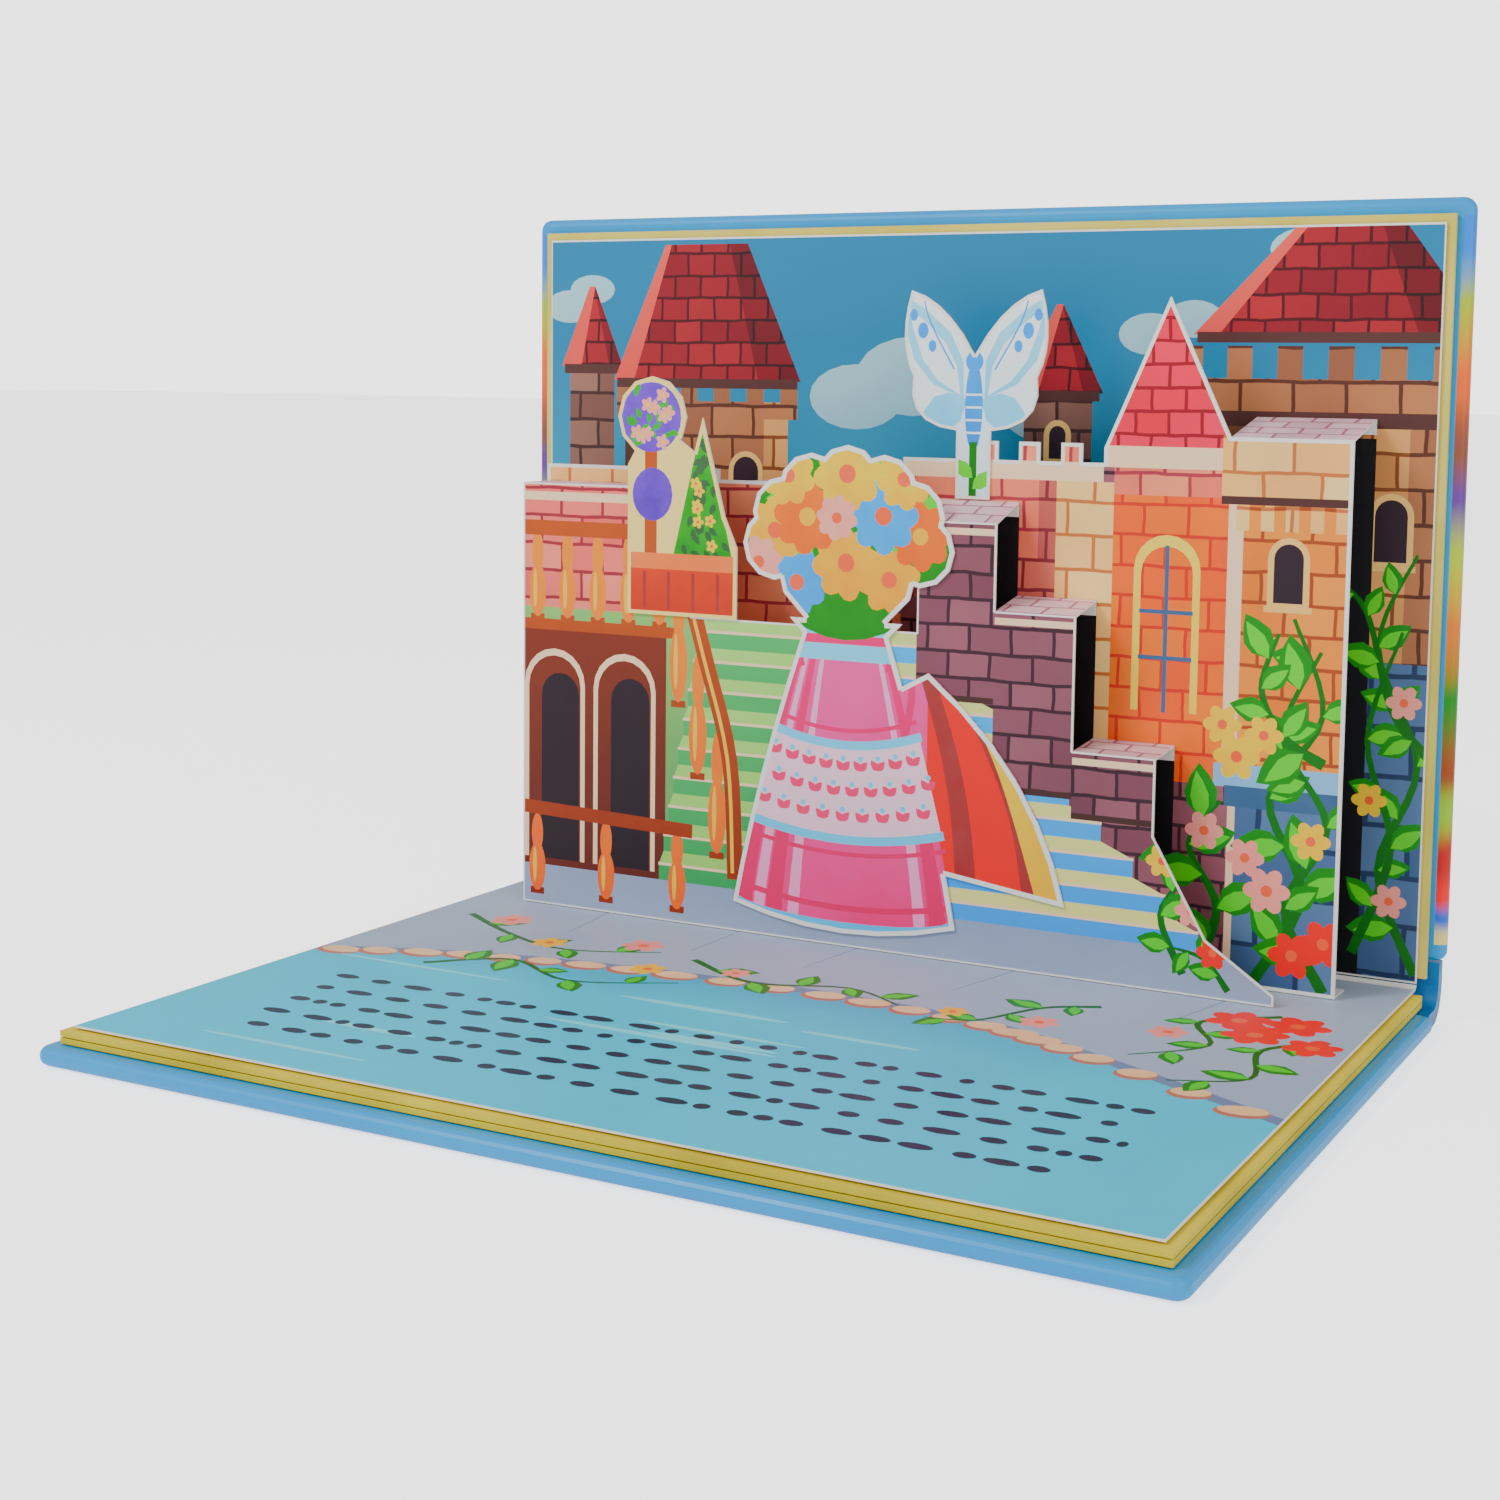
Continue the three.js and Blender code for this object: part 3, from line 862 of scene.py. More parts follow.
def upper_page_picture():
    """Sky, hills, two towers with a keep wall, and vines at the right."""
    draw = random.Random(23)
    shapes = [(block(-BLEED, 0, BLEED, 200), "sky")]
    shapes += clouds(
        [(-30, 150, 15), (-12, 156, 18), (10, 152, 15), (28, 146, 12), (58, 168, 9), (70, 172, 8)],
        0.62,
    )
    shapes += clouds([(-128, 176, 9), (-120, 181, 8), (100, 190, 10), (112, 186, 9)], 0.55)
    ridge = [(-90, 132), (-40, 120), (0, 134), (44, 124), (90, 138)]
    hills = curve([(-BLEED, 118)] + ridge + [(BLEED, 126)], 8)
    shapes += [
        (hills + [(BLEED, 0), (-BLEED, 0)], "hill"),
        (block(-128, 60, -112, 158), "keep_stone"),
        *hipped_roof(-131, -109, 158, -121, -119, 182),
        (block(-108, 60, -52, 148), "tan_stone"),
        (block(-108, 60, -104, 148), "stone_shade"),
        (block(-60, 60, -52, 148), "tan_lit"),
        *battlements(-111, -49, 143, 9, 6, "tan_stone"),
        *hipped_roof(-112, -48, 154, -94, -66, 194),
        *window(-66, 116, 4.2, 16),
        *window(-88, 120, 3.4, 13),
        (block(22, 60, 42, 152), "keep_stone"),
        *hipped_roof(19, 45, 152, 31, 33, 176),
        *window(32, 134, 2.4, 9),
        (block(-BLEED, 0, BLEED, 72), "blue_stone"),
        *battlements(-138, 138, 70, 7, 16, "blue_stone"),
        (block(74, 0, 136, 150), "tan_stone"),
        (block(74, 0, 79, 150), "stone_shade"),
        (block(79, 0, 92, 150), "tan_dim"),
        (block(116, 84, 128, 150), "tan_lit"),
        *battlements(66, 140, 148, 17, 6, "tan_stone"),
        (block(66, 144, 140, 148), "stone_shade"),
        *hipped_roof(70, 146, 168, 104, 120, 203),
        *window(124, 110, 4.2, 16),
        (block(112, 0, 136, 84), "blue_stone"),
        (block(100, 0, 119.5, 141.5), "inner_shade"),
    ]
    for points in (
        [(134, 4), (124, 30), (133, 58), (122, 88), (131, 112)],
        [(118, 8), (127, 36), (120, 64), (128, 92)],
        [(136, 60), (126, 72), (119, 96), (112, 104)],
    ):
        shapes += sprig(points, 2.6, 11, draw, 3)
    for x, z, petal in (
        (127, 22, "petal_pink"),
        (121, 48, "petal_yellow"),
        (129, 74, "petal_pink"),
    ):
        shapes += blossom(x, z, 4.5, 6, petal, "heart")
    return shapes


UPPER_PAGE_FOOT = 1.8
UPPER_PAGE_HEAD = 195.4

upper_print = printed_skin(
    "upper_page_print",
    block(-PAGE_SIDE, UPPER_PAGE_FOOT, PAGE_SIDE, UPPER_PAGE_HEAD),
    upper_page_picture(),
    lambda x, z: (x * MM, GUTTER_Y - INK_THICKNESS - INK_LIFT, PAGE_LEVEL + z * MM),
)
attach(upper_print, "front_half")

# Front cover picture. Printed on the film, on the cover's outer face. Its head is at the spine: a
# bare red banner over hills, a small castle and a row of flowers, in a blue border.

COVER_FACE_Y = 0.11195
COVER_FREE_EDGE = 0.2093
COVER_ART_SIDE = 139.0
COVER_ART_TALL = 190.0
COVER_BORDER = 7
COVER_PLANE = 0.112
COVER_SPAN = (COVER_PLANE, COVER_PLANE + 0.2)

ink("cover_border", "#10a6d8", "#2cbcea", 0.11, 0.32, 0.8, 25)
ink("cover_sky", "#f9dd8e", "#5cc3ea", COVER_PLANE + 0.15, COVER_PLANE + 0.05, 0.3, 20)
ink("cover_lime", "#c3d63f", "#9cc63a", *COVER_SPAN, 0.6, 40)
ink("cover_green", "#4d9b3c", "#6db548", *COVER_SPAN, 0.6, 40)
ink("cover_ochre", "#d79f37", "#e9bd5a", *COVER_SPAN, 0.6, 40)
ink("banner_red", "#d5301f", "#e9512f", COVER_PLANE, COVER_PLANE + 0.1, 0.6, 40)
ink("banner_gold", "#f6c83a")
masonry_ink("mauve_wall", "#a58ab0", "#8f729c", "#5d4668", 13, 8, 0.55)


def rounded(left, foot, right, head, radius, steps=5):
    """A rectangle with round corners."""
    ring = []
    for x, z, start in (
        (right - radius, head - radius, 0),
        (left + radius, head - radius, 90),
        (left + radius, foot + radius, 180),
        (right - radius, foot + radius, 270),
    ):
        for n in range(steps + 1):
            angle = math.radians(start + 90 * n / steps)
            ring.append((x + radius * math.cos(angle), z + radius * math.sin(angle)))
    return ring


def cover_picture():
    """Hills, a small castle, a row of flowers and a bare banner."""
    draw = random.Random(41)
    side, tall = COVER_ART_SIDE, COVER_ART_TALL
    edge = side - COVER_BORDER
    shapes = [
        (block(-side - 2, -2, side + 2, tall + 2), "cover_border"),
        (rounded(-edge, COVER_BORDER, edge, tall - COVER_BORDER, 8), "cover_sky"),
        *clouds([(-92, 128, 15), (-74, 133, 18), (84, 122, 16), (102, 127, 13)], 0.5),
    ]
    hills = (
        ("cover_green", [(-edge, 70), (-80, 92), (-20, 74), (50, 96), (edge, 72)]),
        ("cover_lime", [(-edge, 52), (-70, 60), (0, 72), (64, 56), (edge, 66)]),
        ("cover_ochre", [(-edge, 30), (-60, 40), (10, 30), (70, 42), (edge, 28)]),
    )
    for colour, line in hills[:1]:
        shapes.append(([(-edge, COVER_BORDER)] + curve(line, 6) + [(edge, COVER_BORDER)], colour))
    shapes.append((block(-34, 60, 34, 112), "mauve_wall"))
    shapes += battlements(-36, 36, 110, 8, 7, "mauve_wall")
    for x in (-40, 40):
        shapes += [
            (block(x - 11, 56, x + 11, 122), "tan_stone"),
            ([(x - 15, 122), (x + 15, 122), (x, 150)], "roof_red"),
            *window(x, 96, 3.6, 14),
        ]
    shapes.append((arch(0, 60, 10, 34), "window_dark"))
    for colour, line in hills[1:]:
        shapes.append(([(-edge, COVER_BORDER)] + curve(line, 6) + [(edge, COVER_BORDER)], colour))
    for n in range(15):
        x = -120 + 17 * n
        shapes += [
            *strokes(curve([(x, 8), (x + 2, 16), (x, 26)], 3), 1.6, 1.0, "vine"),
            (leaf(x, 12, 10, 5, 35), "leaf_light"),
            (leaf(x, 14, 10, 5, 145), "leaf_dark"),
        ]
        petal = ("petal_red", "petal_yellow", "petal_pink")[n % 3]
        shapes += blossom(x, 28, 7, 7, petal, "heart", draw.uniform(0, 50))
    shapes.append((rounded(-92, tall - 40, 92, tall - 16, 10), "banner_gold"))
    shapes.append((rounded(-89, tall - 37, 89, tall - 19, 8), "banner_red"))
    return shapes


cover_print = printed_skin(
    "front_cover_print",
    rounded(-COVER_ART_SIDE, 0, COVER_ART_SIDE, COVER_ART_TALL, 5),
    cover_picture(),
    lambda x, z: (x * MM, COVER_FACE_Y + INK_THICKNESS, COVER_FREE_EDGE - z * MM),
)
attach(cover_print, "front_half")

# Wall card. The castle wall: a die-cut card with a tab at its foot, a gable, and strips to the
# upper page. A white rim of bare card runs round the print.

RIM = 1.0
LEDGE_FROM = 0.03
FACING = 0.99
LEVEL_ENOUGH = 0.5
FACE_TOLERANCE = 0.0001

card_stock = paper_material("card_stock", "#f1ece6")


def fold_down(piece):
    """The piece rides with the back half, on a mesh of its own."""
    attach(piece, "back_half")
    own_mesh(piece)


def front_outlines(card):
    """The edges of the card's front face as closed lines in millimetres, the longest first."""
    shell = bmesh.new()
    shell.from_mesh(card.data)
    face_y = min(v.co.y for v in shell.verts)
    front = [
        face
        for face in shell.faces
        if face.normal.y < -FACING and abs(face.calc_center_median().y - face_y) < FACE_TOLERANCE
    ]
    rim = {}
    for face in front:
        for loop in face.loops:
            if sum(other in front for other in loop.edge.link_faces) == 1:
                rim[loop.vert.index] = loop.link_loop_next.vert.index
    place = {v.index: (v.co.x / MM, (v.co.z - PAGE_LEVEL) / MM) for v in shell.verts}
    shell.free()
    outlines = []
    while rim:
        start = next(iter(rim))
        path, here = [], start
        while here in rim:
            path.append(place[here])
            here = rim.pop(here)
        outlines.append(path)
    outlines.sort(key=lambda path: -max(x for x, _ in path) + min(x for x, _ in path))
    return outlines, face_y


def rim_strokes(outlines, width, colour):
    """A border of bare card along every edge."""
    shapes = []
    for path in outlines:
        shapes += strokes(path + path[:1], 2 * width, 2 * width, colour)
    return shapes


def printed_card(node, shapes, rim_width, rim_colour="paper"):
    """The card stock and the ink on its front face, as two pieces that ride with the back half."""
    card = merged_copy(node, node)
    give(card, card_stock)
    card.data.materials.append(inks["ledge_stone"])
    for face in card.data.polygons:
        if face.normal.z > LEVEL_ENOUGH and face.center.z > PAGE_LEVEL + LEDGE_FROM:
            face.material_index = 1
    outlines, face_y = front_outlines(card)
    shapes = shapes + rim_strokes(outlines, rim_width, rim_colour)
    skin = printed_skin(
        f"{node}_print",
        outlines[0],
        shapes,
        lambda x, z: (x * MM, face_y - INK_THICKNESS - INK_LIFT, PAGE_LEVEL + z * MM),
        outlines[1:],
    )
    fold_down(card)
    fold_down(skin)
    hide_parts(node)


WALL_SHADE = 0.08275
masonry_ink("ledge_stone", "#eddde0", "#dfcad0", "#b4919c", 11, 7.5, 0.5)
masonry_ink("mauve_brick", "#a37f86", "#8a6670", "#553c46", 12, 7, 0.55)
masonry_ink("pink_brick", "#f0b9a6", "#dc9a8e", "#a9606a", 13, 8, 0.55)
masonry_ink("pink_dim", "#cf958c", "#bb7f7c", "#8a5058", 13, 8, 0.55)
masonry_ink("cream_brick", "#f7e2c0", "#eccaa6", "#c49478", 15, 9, 0.55)
masonry_ink("orange_brick", "#eeb98e", "#dda078", "#a8705a", 13, 8, 0.55)
masonry_ink("glow_brick", "#f6a66c", "#ee8a58", "#c46046", 12, 8, 0.5)
masonry_ink("gable_tile", "#e66a80", "#d04c66", "#963048", 9, 6, 0.5)
ink("lamp_glow", "#ffd98a", "#fff0b8", *STONE_SPAN, 0.4, 60)
ink("stone_edge", "#f6e3d0")
ink("basin", "#8fb0cf", "#b7d0e4", WALL_SHADE, WALL_SHADE + 0.08, 0.6, 50)
ink("basin_shade", "#56748f")

CARD_BLEED = 125
STONE_BLOCK_RIGHTS = (30.5, 53, 75.5)
STONE_BLOCK_WIDTH = 22.5
GLAZING_BAR = 1.1


def wall_picture():
    """Castle wall, gable with a lit window, tower, basin and vines."""
    draw = random.Random(5)
    shapes = [
        (block(-CARD_BLEED, -2, CARD_BLEED, 182), "mauve_brick"),
        (block(-CARD_BLEED, 60, -4, 140), "cream_brick"),
        (block(-70, 60, -4, 140), "pink_brick"),
    ]
    for x in (-104, -78, -40, -20):
        shapes += window(x, 104, 3.4, 14)
    shapes += [
        (block(-4, 96, 54, 140), "pink_brick"),
        (block(-4, 129, 54, 134), "stone_edge"),
        (block(36, 50, 57, 129), "cream_brick"),
        (block(36, 50, 41, 129), "pink_dim"),
        (block(-4, 96, 36, 108), "pink_dim"),
        ([(52, 138), (90, 138), (71, 179)], "gable_tile"),
        (block(52, 133, 90, 138.6), "stone_edge"),
        (block(57, 52, 88, 133), "glow_brick"),
        (block(57, 126, 88, 133), "pink_brick"),
        (arch(72, 70, 9, 46), "lamp_glow"),
        (arch(72, 70, 7, 43), "glow_brick"),
    ]
    for bar in ([(65, 84), (79, 84)], [(65, 96), (79, 96)], [(72, 70), (72, 113)]):
        shapes += strokes(bar, GLAZING_BAR, GLAZING_BAR, "basin_shade")
    shapes += [
        (block(88, -2, CARD_BLEED, 145), "orange_brick"),
        (block(88, -2, 92, 130), "stone_edge"),
        (block(86, 126, CARD_BLEED, 142), "cream_brick"),
    ]
    for n in range(5):
        shapes.append((block(90 + 6.4 * n, 118, 93.4 + 6.4 * n, 126), "cream_brick"))
    shapes += [
        (block(86, 124.5, CARD_BLEED, 126.6), "stone_shade"),
        *window(104, 100, 3.8, 15),
        (block(57, -2, 90, 52), "mauve_brick"),
    ]
    for right, head in zip(STONE_BLOCK_RIGHTS, (123, 98, 61.5)):
        shapes.append((block(right - 12, -2, right, head), "inner_shade"))
    shapes += [
        (block(92, -2, CARD_BLEED, 48), "blue_stone"),
        (block(86, 52, CARD_BLEED, 58), "basin"),
        (block(89, 47, CARD_BLEED, 52.4), "basin_shade"),
    ]
    for points in (
        [(98, 2), (110, 26), (101, 50), (114, 72), (106, 96)],
        [(116, 2), (106, 22), (116, 44), (104, 66), (113, 88)],
        [(82, 2), (88, 20), (80, 36), (88, 48)],
        [(114, 60), (104, 66), (98, 78), (102, 92)],
    ):
        shapes += sprig(points, 3.0, 13, draw, 3)
    for x, z, size, petal in (
        (92, 60, 6, "petal_yellow"), (99, 66, 5, "petal_yellow"), (88, 68, 5, "petal_yellow"),
        (101, 26, 6, "petal_pink"), (95, 34, 5, "petal_pink"), (84, 40, 5, "petal_pink"),
        (112, 40, 5, "petal_yellow"), (108, 10, 6, "petal_red"), (116, 14, 6, "petal_red"),
    ):
        shapes += blossom(x, z, size, 6, petal, "heart")
    return shapes


printed_card("wall_card", wall_picture(), RIM)

# Front card. Terrace, steps and stone blocks in one die-cut card in front of the wall, with a tab
# at its foot and strips that tie it to the wall. The strips' faces show as the tops of the blocks.

FRONT_SHADE = 0.06775
FRONT_SPAN = (FRONT_SHADE, FRONT_SHADE + 0.1)
TALL_SPAN = (FRONT_SHADE, FRONT_SHADE + 0.12)
ink("floor_grey", "#b9c0cd", "#9da7bb", FRONT_SHADE + 0.009, FRONT_SHADE + 0.04, 0.6, 40)
ink("tread", "#f2ecc4", "#dfe6bc", *FRONT_SPAN, 0.4, 60)
ink("riser", "#4aa6dc", "#7cc4ea", *FRONT_SPAN, 0.5, 60)
ink("green_tread", "#b9d9a2", "#cfe6b4", *FRONT_SPAN, 0.5, 50)
ink("green_riser", "#6dab84", "#8ec59a", *FRONT_SPAN, 0.5, 50)
ink("green_wall", "#7aa886", "#b9d3a6", *TALL_SPAN, 0.6, 30)
ink("panel_brown", "#6b3f37", "#8a564a", *FRONT_SPAN, 0.6, 30)
ink("rail_brown", "#8f4f3c", "#b97a5c", *TALL_SPAN, 0.5, 60)
ink("baluster", "#e08a2c", "#f4b14e", *TALL_SPAN, 0.8, 120)
ink("baluster_light", "#f9d38a")
masonry_ink("terrace_brick", "#eeaaa2", "#d88a88", "#9c545e", 14, 8, 0.55)

FLIGHT_STEPS = 9
FLIGHT_FOOT = 12.0
FLIGHT_HEAD = 88.0
FLIGHT_LEFT = (-72.0, -58.0)
FLIGHT_RIGHT = (88.0, 8.0)
FLIGHT_MIDDLE = -4.0
RISER_SHARE = 0.55
FIRST_POST = -114


def turned_post(x, foot, tall):
    """A baluster turned on a lathe: two bellies on a foot, with a light down its side."""
    return [
        (block(x - 2.4, foot, x + 2.4, foot + 2), "rail_brown"),
        (oval(x, foot + tall * 0.34, 2.9, tall * 0.30), "baluster"),
        (oval(x, foot + tall * 0.76, 2.0, tall * 0.24), "baluster"),
        (oval(x - 0.9, foot + tall * 0.36, 0.7, tall * 0.22), "baluster_light"),
    ]


def front_picture():
    """Terrace with arches, a flight of steps, three stone blocks and balusters."""
    draw = random.Random(9)
    shapes = [
        (block(-CARD_BLEED, -2, CARD_BLEED, 130), "mauve_brick"),
        (block(-CARD_BLEED, 84, -62, 128), "terrace_brick"),
        (block(-CARD_BLEED, 119, -62, 121.5), "stone_edge"),
        (block(-CARD_BLEED, -2, 8, 88), "green_wall"),
        (block(-CARD_BLEED, 12, -70, 84), "panel_brown"),
    ]
    for x in (-108, -84):
        shapes += [
            (arch(x, 14, 10.5, 62), "stone_edge"),
            (arch(x, 14, 9, 60), "panel_brown"),
            (arch(x + 2, 14, 6.5, 55), "window_dark"),
        ]
    for n in range(FLIGHT_STEPS):
        low, high = n / FLIGHT_STEPS, (n + 1) / FLIGHT_STEPS
        foot = FLIGHT_FOOT + (FLIGHT_HEAD - FLIGHT_FOOT) * low
        head = FLIGHT_FOOT + (FLIGHT_HEAD - FLIGHT_FOOT) * high
        middle = foot + (head - foot) * RISER_SHARE
        edges = [
            [side[0] + (side[1] - side[0]) * share for side in (FLIGHT_LEFT, FLIGHT_RIGHT)]
            for share in (low, high)
        ]
        (left, right), (upper_left, upper_right) = edges
        for start, stop, upper_start, upper_stop, riser, tread in (
            (left, FLIGHT_MIDDLE, upper_left, FLIGHT_MIDDLE, "green_riser", "green_tread"),
            (FLIGHT_MIDDLE, right, FLIGHT_MIDDLE, upper_right, "riser", "tread"),
        ):
            shapes.append((block(start, foot, stop, middle), riser))
            top = [(start, middle), (stop, middle), (upper_stop, head), (upper_start, head)]
            shapes.append((top, tread))
        shapes += strokes([(left, middle), (right, middle)], 0.8, 0.8, "stone_edge")
    for right, head in zip(STONE_BLOCK_RIGHTS, (118, 95, 60)):
        left, foot = right - STONE_BLOCK_WIDTH, max(44, head - 46)
        shapes += [
            (block(left, foot, right, head + 2), "mauve_brick"),
            (block(left, head - 3.4, right, head - 1.6), "stone_edge"),
            (block(left, foot - 1.6, right, foot), "stone_shade"),
        ]
    shapes.append((block(-CARD_BLEED, -2, CARD_BLEED, 12), "floor_grey"))
    for n in range(5):
        shapes += turned_post(FIRST_POST + 10.4 * n, 84, 26)
    shapes += strokes([(-122, 111), (-68, 111)], 4.4, 4.4, "rail_brown")
    shapes += strokes([(-122, 83), (-66, 83)], 3.2, 3.2, "rail_brown")
    for x, foot, tall in ((-66, 62, 36), (-59.5, 42, 36), (-53, 20, 36)):
        shapes += turned_post(x, foot, tall)
    slope = [(-70, 111), (-64, 98), (-57, 76), (-49, 48), (-47, 16)]
    shapes += strokes(curve(slope, 5), 5.0, 5.0, "rail_brown")
    lit = [(x - 0.8, z + 0.8) for x, z in slope]
    shapes += strokes(curve(lit, 5), 1.1, 1.1, "baluster_light")
    for n in range(3):
        shapes += turned_post(FIRST_POST + 24 * n, 3, 24)
    shapes += [
        *strokes([(-122, 29), (-62, 27)], 4.0, 4.0, "rail_brown"),
        *sprig([(84, 6), (78, 20), (84, 32), (78, 40)], 2.2, 10, draw, 3),
        *sprig([(96, 3), (90, 10), (82, 12)], 1.8, 9, draw, 3),
    ]
    for x, z, petal in ((86, 22, "petal_pink"), (92, 12, "petal_red"), (78, 34, "petal_yellow")):
        shapes += blossom(x, z, 4.2, 6, petal, "heart")
    return shapes


printed_card("front_card", front_picture(), RIM * 0.5)

# Urn of flowers. The largest die-cut layer, glued to the front card: a tall pink urn with a
# patterned panel and pale blue bands, a bunch of flowers in its neck, and a red cloth lined with
# yellow beside it.

URN_SHADE = 0.06695
URN_SPAN = (URN_SHADE, URN_SHADE + 0.09)
BLOOM_SPAN = (URN_SHADE + 0.09, URN_SHADE + 0.15)
ink("urn_pink", "#e2588e", "#f78cb4", *URN_SPAN, 0.9, 40)
ink("urn_rose", "#c93a76", "#dd5a8e", *URN_SPAN, 0.6, 40)
ink("urn_blush", "#fbb6cf", "#fdcbdc", *URN_SPAN, 0.6, 40)
ink("urn_panel", "#fbd3df", "#fde4ea", *URN_SPAN, 0.5, 60)
ink("urn_motif", "#df5a86")
ink("urn_band", "#86c9e6", "#b3e0f2", *URN_SPAN, 0.4, 80)
ink("cloth_red", "#d8202c", "#ee4a36", *URN_SPAN, 1.2, 50)
ink("cloth_dark", "#9c1224")
ink("cloth_gold", "#f6c02e", "#fbe47a", *URN_SPAN, 0.8, 60)
ink("petal_gold", "#f2b32c", "#fbe08a", *BLOOM_SPAN, 0.8, 120)
ink("petal_amber", "#d9822a", "#eca548", *BLOOM_SPAN, 0.8, 120)
ink("petal_blue", "#3c8fd0", "#7cc0ea", URN_SHADE + 0.02, URN_SHADE + 0.15, 0.8, 120)

URN_CENTRE = -13.0
URN_FOOT_RADIUS = 34.0
URN_BELLY_RADIUS = 27.2
URN_NECK_RADIUS = 13.0
URN_FOOT_TOP = 9.0
URN_NECK = 86.0
BOUQUET = (-13.0, 107.6)


def urn_half_width(z):
    """Half the urn's width at a height, from its flared foot to its neck."""
    share = min(1.0, max(0.0, (z - URN_FOOT_TOP) / (URN_NECK - URN_FOOT_TOP)))
    foot, belly, neck = (1 - share) ** 2, 2 * share * (1 - share), share**2
    return foot * URN_FOOT_RADIUS + belly * URN_BELLY_RADIUS + neck * URN_NECK_RADIUS


def rib(lean, start, end, wide, thin, colour):
    """A painted flute that follows the urn's side: lean is its share of the half width."""
    line = []
    for n in range(13):
        z = start + (end - start) * n / 12
        line.append((URN_CENTRE + lean * urn_half_width(z), z))
    return strokes(line, wide, thin, colour)


BELT_FOOT = 34.0
BELT_HEAD = 60.0
HOOP_SAG = 4.0
MOTIF_PITCH = 0.22


def hoop(z, count):
    """A line round the urn at a height, sagging in the middle as a ring seen from above does."""
    half = urn_half_width(z) + 1
    line = []
    for n in range(count + 1):
        lean = 2 * n / count - 1
        line.append((URN_CENTRE + half * lean, z - HOOP_SAG * (1 - lean * lean)))
    return line


def urn_picture():
    """Cloth first, then the urn with its belt and hoops, then the bunch of flowers."""
    draw = random.Random(31)
    shapes = [(block(-60, 0, 60, 160), "urn_pink")]
    drape = curve([(4, 92), (22, 80), (38, 56), (52, 18)], 8)
    shapes += [
        (block(12, 14, 60, 92), "cloth_red"),
        *strokes(curve([(12, 76), (18, 58), (22, 40), (24, 22)], 6), 4.0, 6.0, "cloth_dark"),
        *strokes(curve([(18, 78), (30, 58), (38, 40), (42, 22)], 6), 1.4, 4.0, "cloth_dark"),
        *strokes([(x - 2.5, z) for x, z in drape], 6, 9, "cloth_gold"),
    ]
    body = [
        (URN_CENTRE + side * urn_half_width(z), z)
        for side, heights in ((-1, range(4, 88, 6)), (1, range(82, 0, -6)))
        for z in heights
    ]
    shapes.append((body, "urn_pink"))
    for lean in (-0.9, -0.62, 0.86):
        shapes += rib(lean, 4, 84, 5.0, 1.6, "urn_rose")
    for lean in (-0.76, -0.44, 0.70):
        shapes += rib(lean, 8, 84, 3.4, 1.2, "urn_blush")
    belt = hoop(BELT_FOOT, 20) + hoop(BELT_HEAD, 20)[::-1]
    shapes.append((belt, "urn_panel"))
    for row in range(3):
        for place in range(9):
            lean = MOTIF_PITCH * (place - 4 + (0.5 if row % 2 else 0.0))
            z = BELT_FOOT + 5 + row * 7
            x = URN_CENTRE + lean * urn_half_width(z)
            z -= HOOP_SAG * (1 - lean * lean)
            shapes += [
                (leaf(x - 0.2, z, 3.6, 2.2, 50), "urn_motif"),
                (leaf(x + 0.2, z, 3.6, 2.2, 130), "urn_motif"),
                (oval(x, z + 3.4, 0.8, 0.8, 0, 8), "urn_band"),
            ]
    for z, wide, colour in (
        (BELT_FOOT, 2.4, "urn_band"),
        (BELT_HEAD, 2.4, "urn_band"),
        (BELT_FOOT - 4, 1.2, "urn_rose"),
        (BELT_HEAD + 4, 1.2, "urn_rose"),
        (15, 1.6, "urn_rose"),
    ):
        shapes += strokes(hoop(z, 16), wide, wide, colour)
    hem = []
    for degrees in range(-80, 81, 16):
        angle = math.radians(degrees)
        hem.append((URN_CENTRE + URN_FOOT_RADIUS * math.sin(angle), 11 - 5 * math.cos(angle)))
    shapes += [
        *strokes(hem, 2.2, 2.2, "urn_band"),
        (block(URN_CENTRE - 17, 79, URN_CENTRE + 17, 83.5), "urn_band"),
        (block(URN_CENTRE - 17, 83.5, URN_CENTRE + 17, 86), "urn_rose"),
        (block(URN_CENTRE - 19, 86, URN_CENTRE + 19, 91), "urn_band"),
    ]
    for side in (-1, 1):
        handle = [(URN_CENTRE + side * reach, z) for reach, z in ((13, 78), (20, 74), (19, 62))]
        shapes += strokes(curve(handle, 5), 2.4, 2.0, "urn_rose")
    centre_x, centre_z = BOUQUET
    shapes.append((oval(centre_x, centre_z + 2, 27, 25, 0, 28), "leaf_dark"))
    shapes.append((block(-45, 96, 20, 144), "leaf_dark"))
    for _ in range(34):
        angle = draw.uniform(-10, 190)
        reach = draw.uniform(8, 27)
        x = centre_x + reach * math.cos(math.radians(angle))
        z = centre_z + reach * math.sin(math.radians(angle))
        shapes.append((leaf(x, z, 10, 5, angle + draw.uniform(-50, 50)), "leaf_light"))
    blooms = [
        (-15, -8, 9, "petal_blue"), (13, -6, 9, "petal_gold"), (0, -2, 10, "petal_gold"),
        (-22, 6, 9, "petal_gold"), (22, 6, 9, "petal_amber"), (-12, 10, 10, "petal_amber"),
        (11, 11, 10, "petal_blue"), (-18, 21, 8, "petal_gold"), (0, 22, 10, "petal_gold"),
        (17, 21, 8, "petal_gold"), (-3, 10, 6, "petal_pink"), (-27, -3, 7, "petal_pink"),
    ]
    for x, z, size, petal in blooms:
        heart = "heart" if petal != "petal_amber" else "petal_gold"
        shapes += blossom(centre_x + x, centre_z + z, size, 8, petal, heart, draw.uniform(0, 45))
    return shapes


printed_card("urn_layer", urn_picture(), RIM * 1.3)

# Clipped shrubs. A ball on a stem and a cone in one tub, die-cut with a cream rim and glued beside
# the landing.

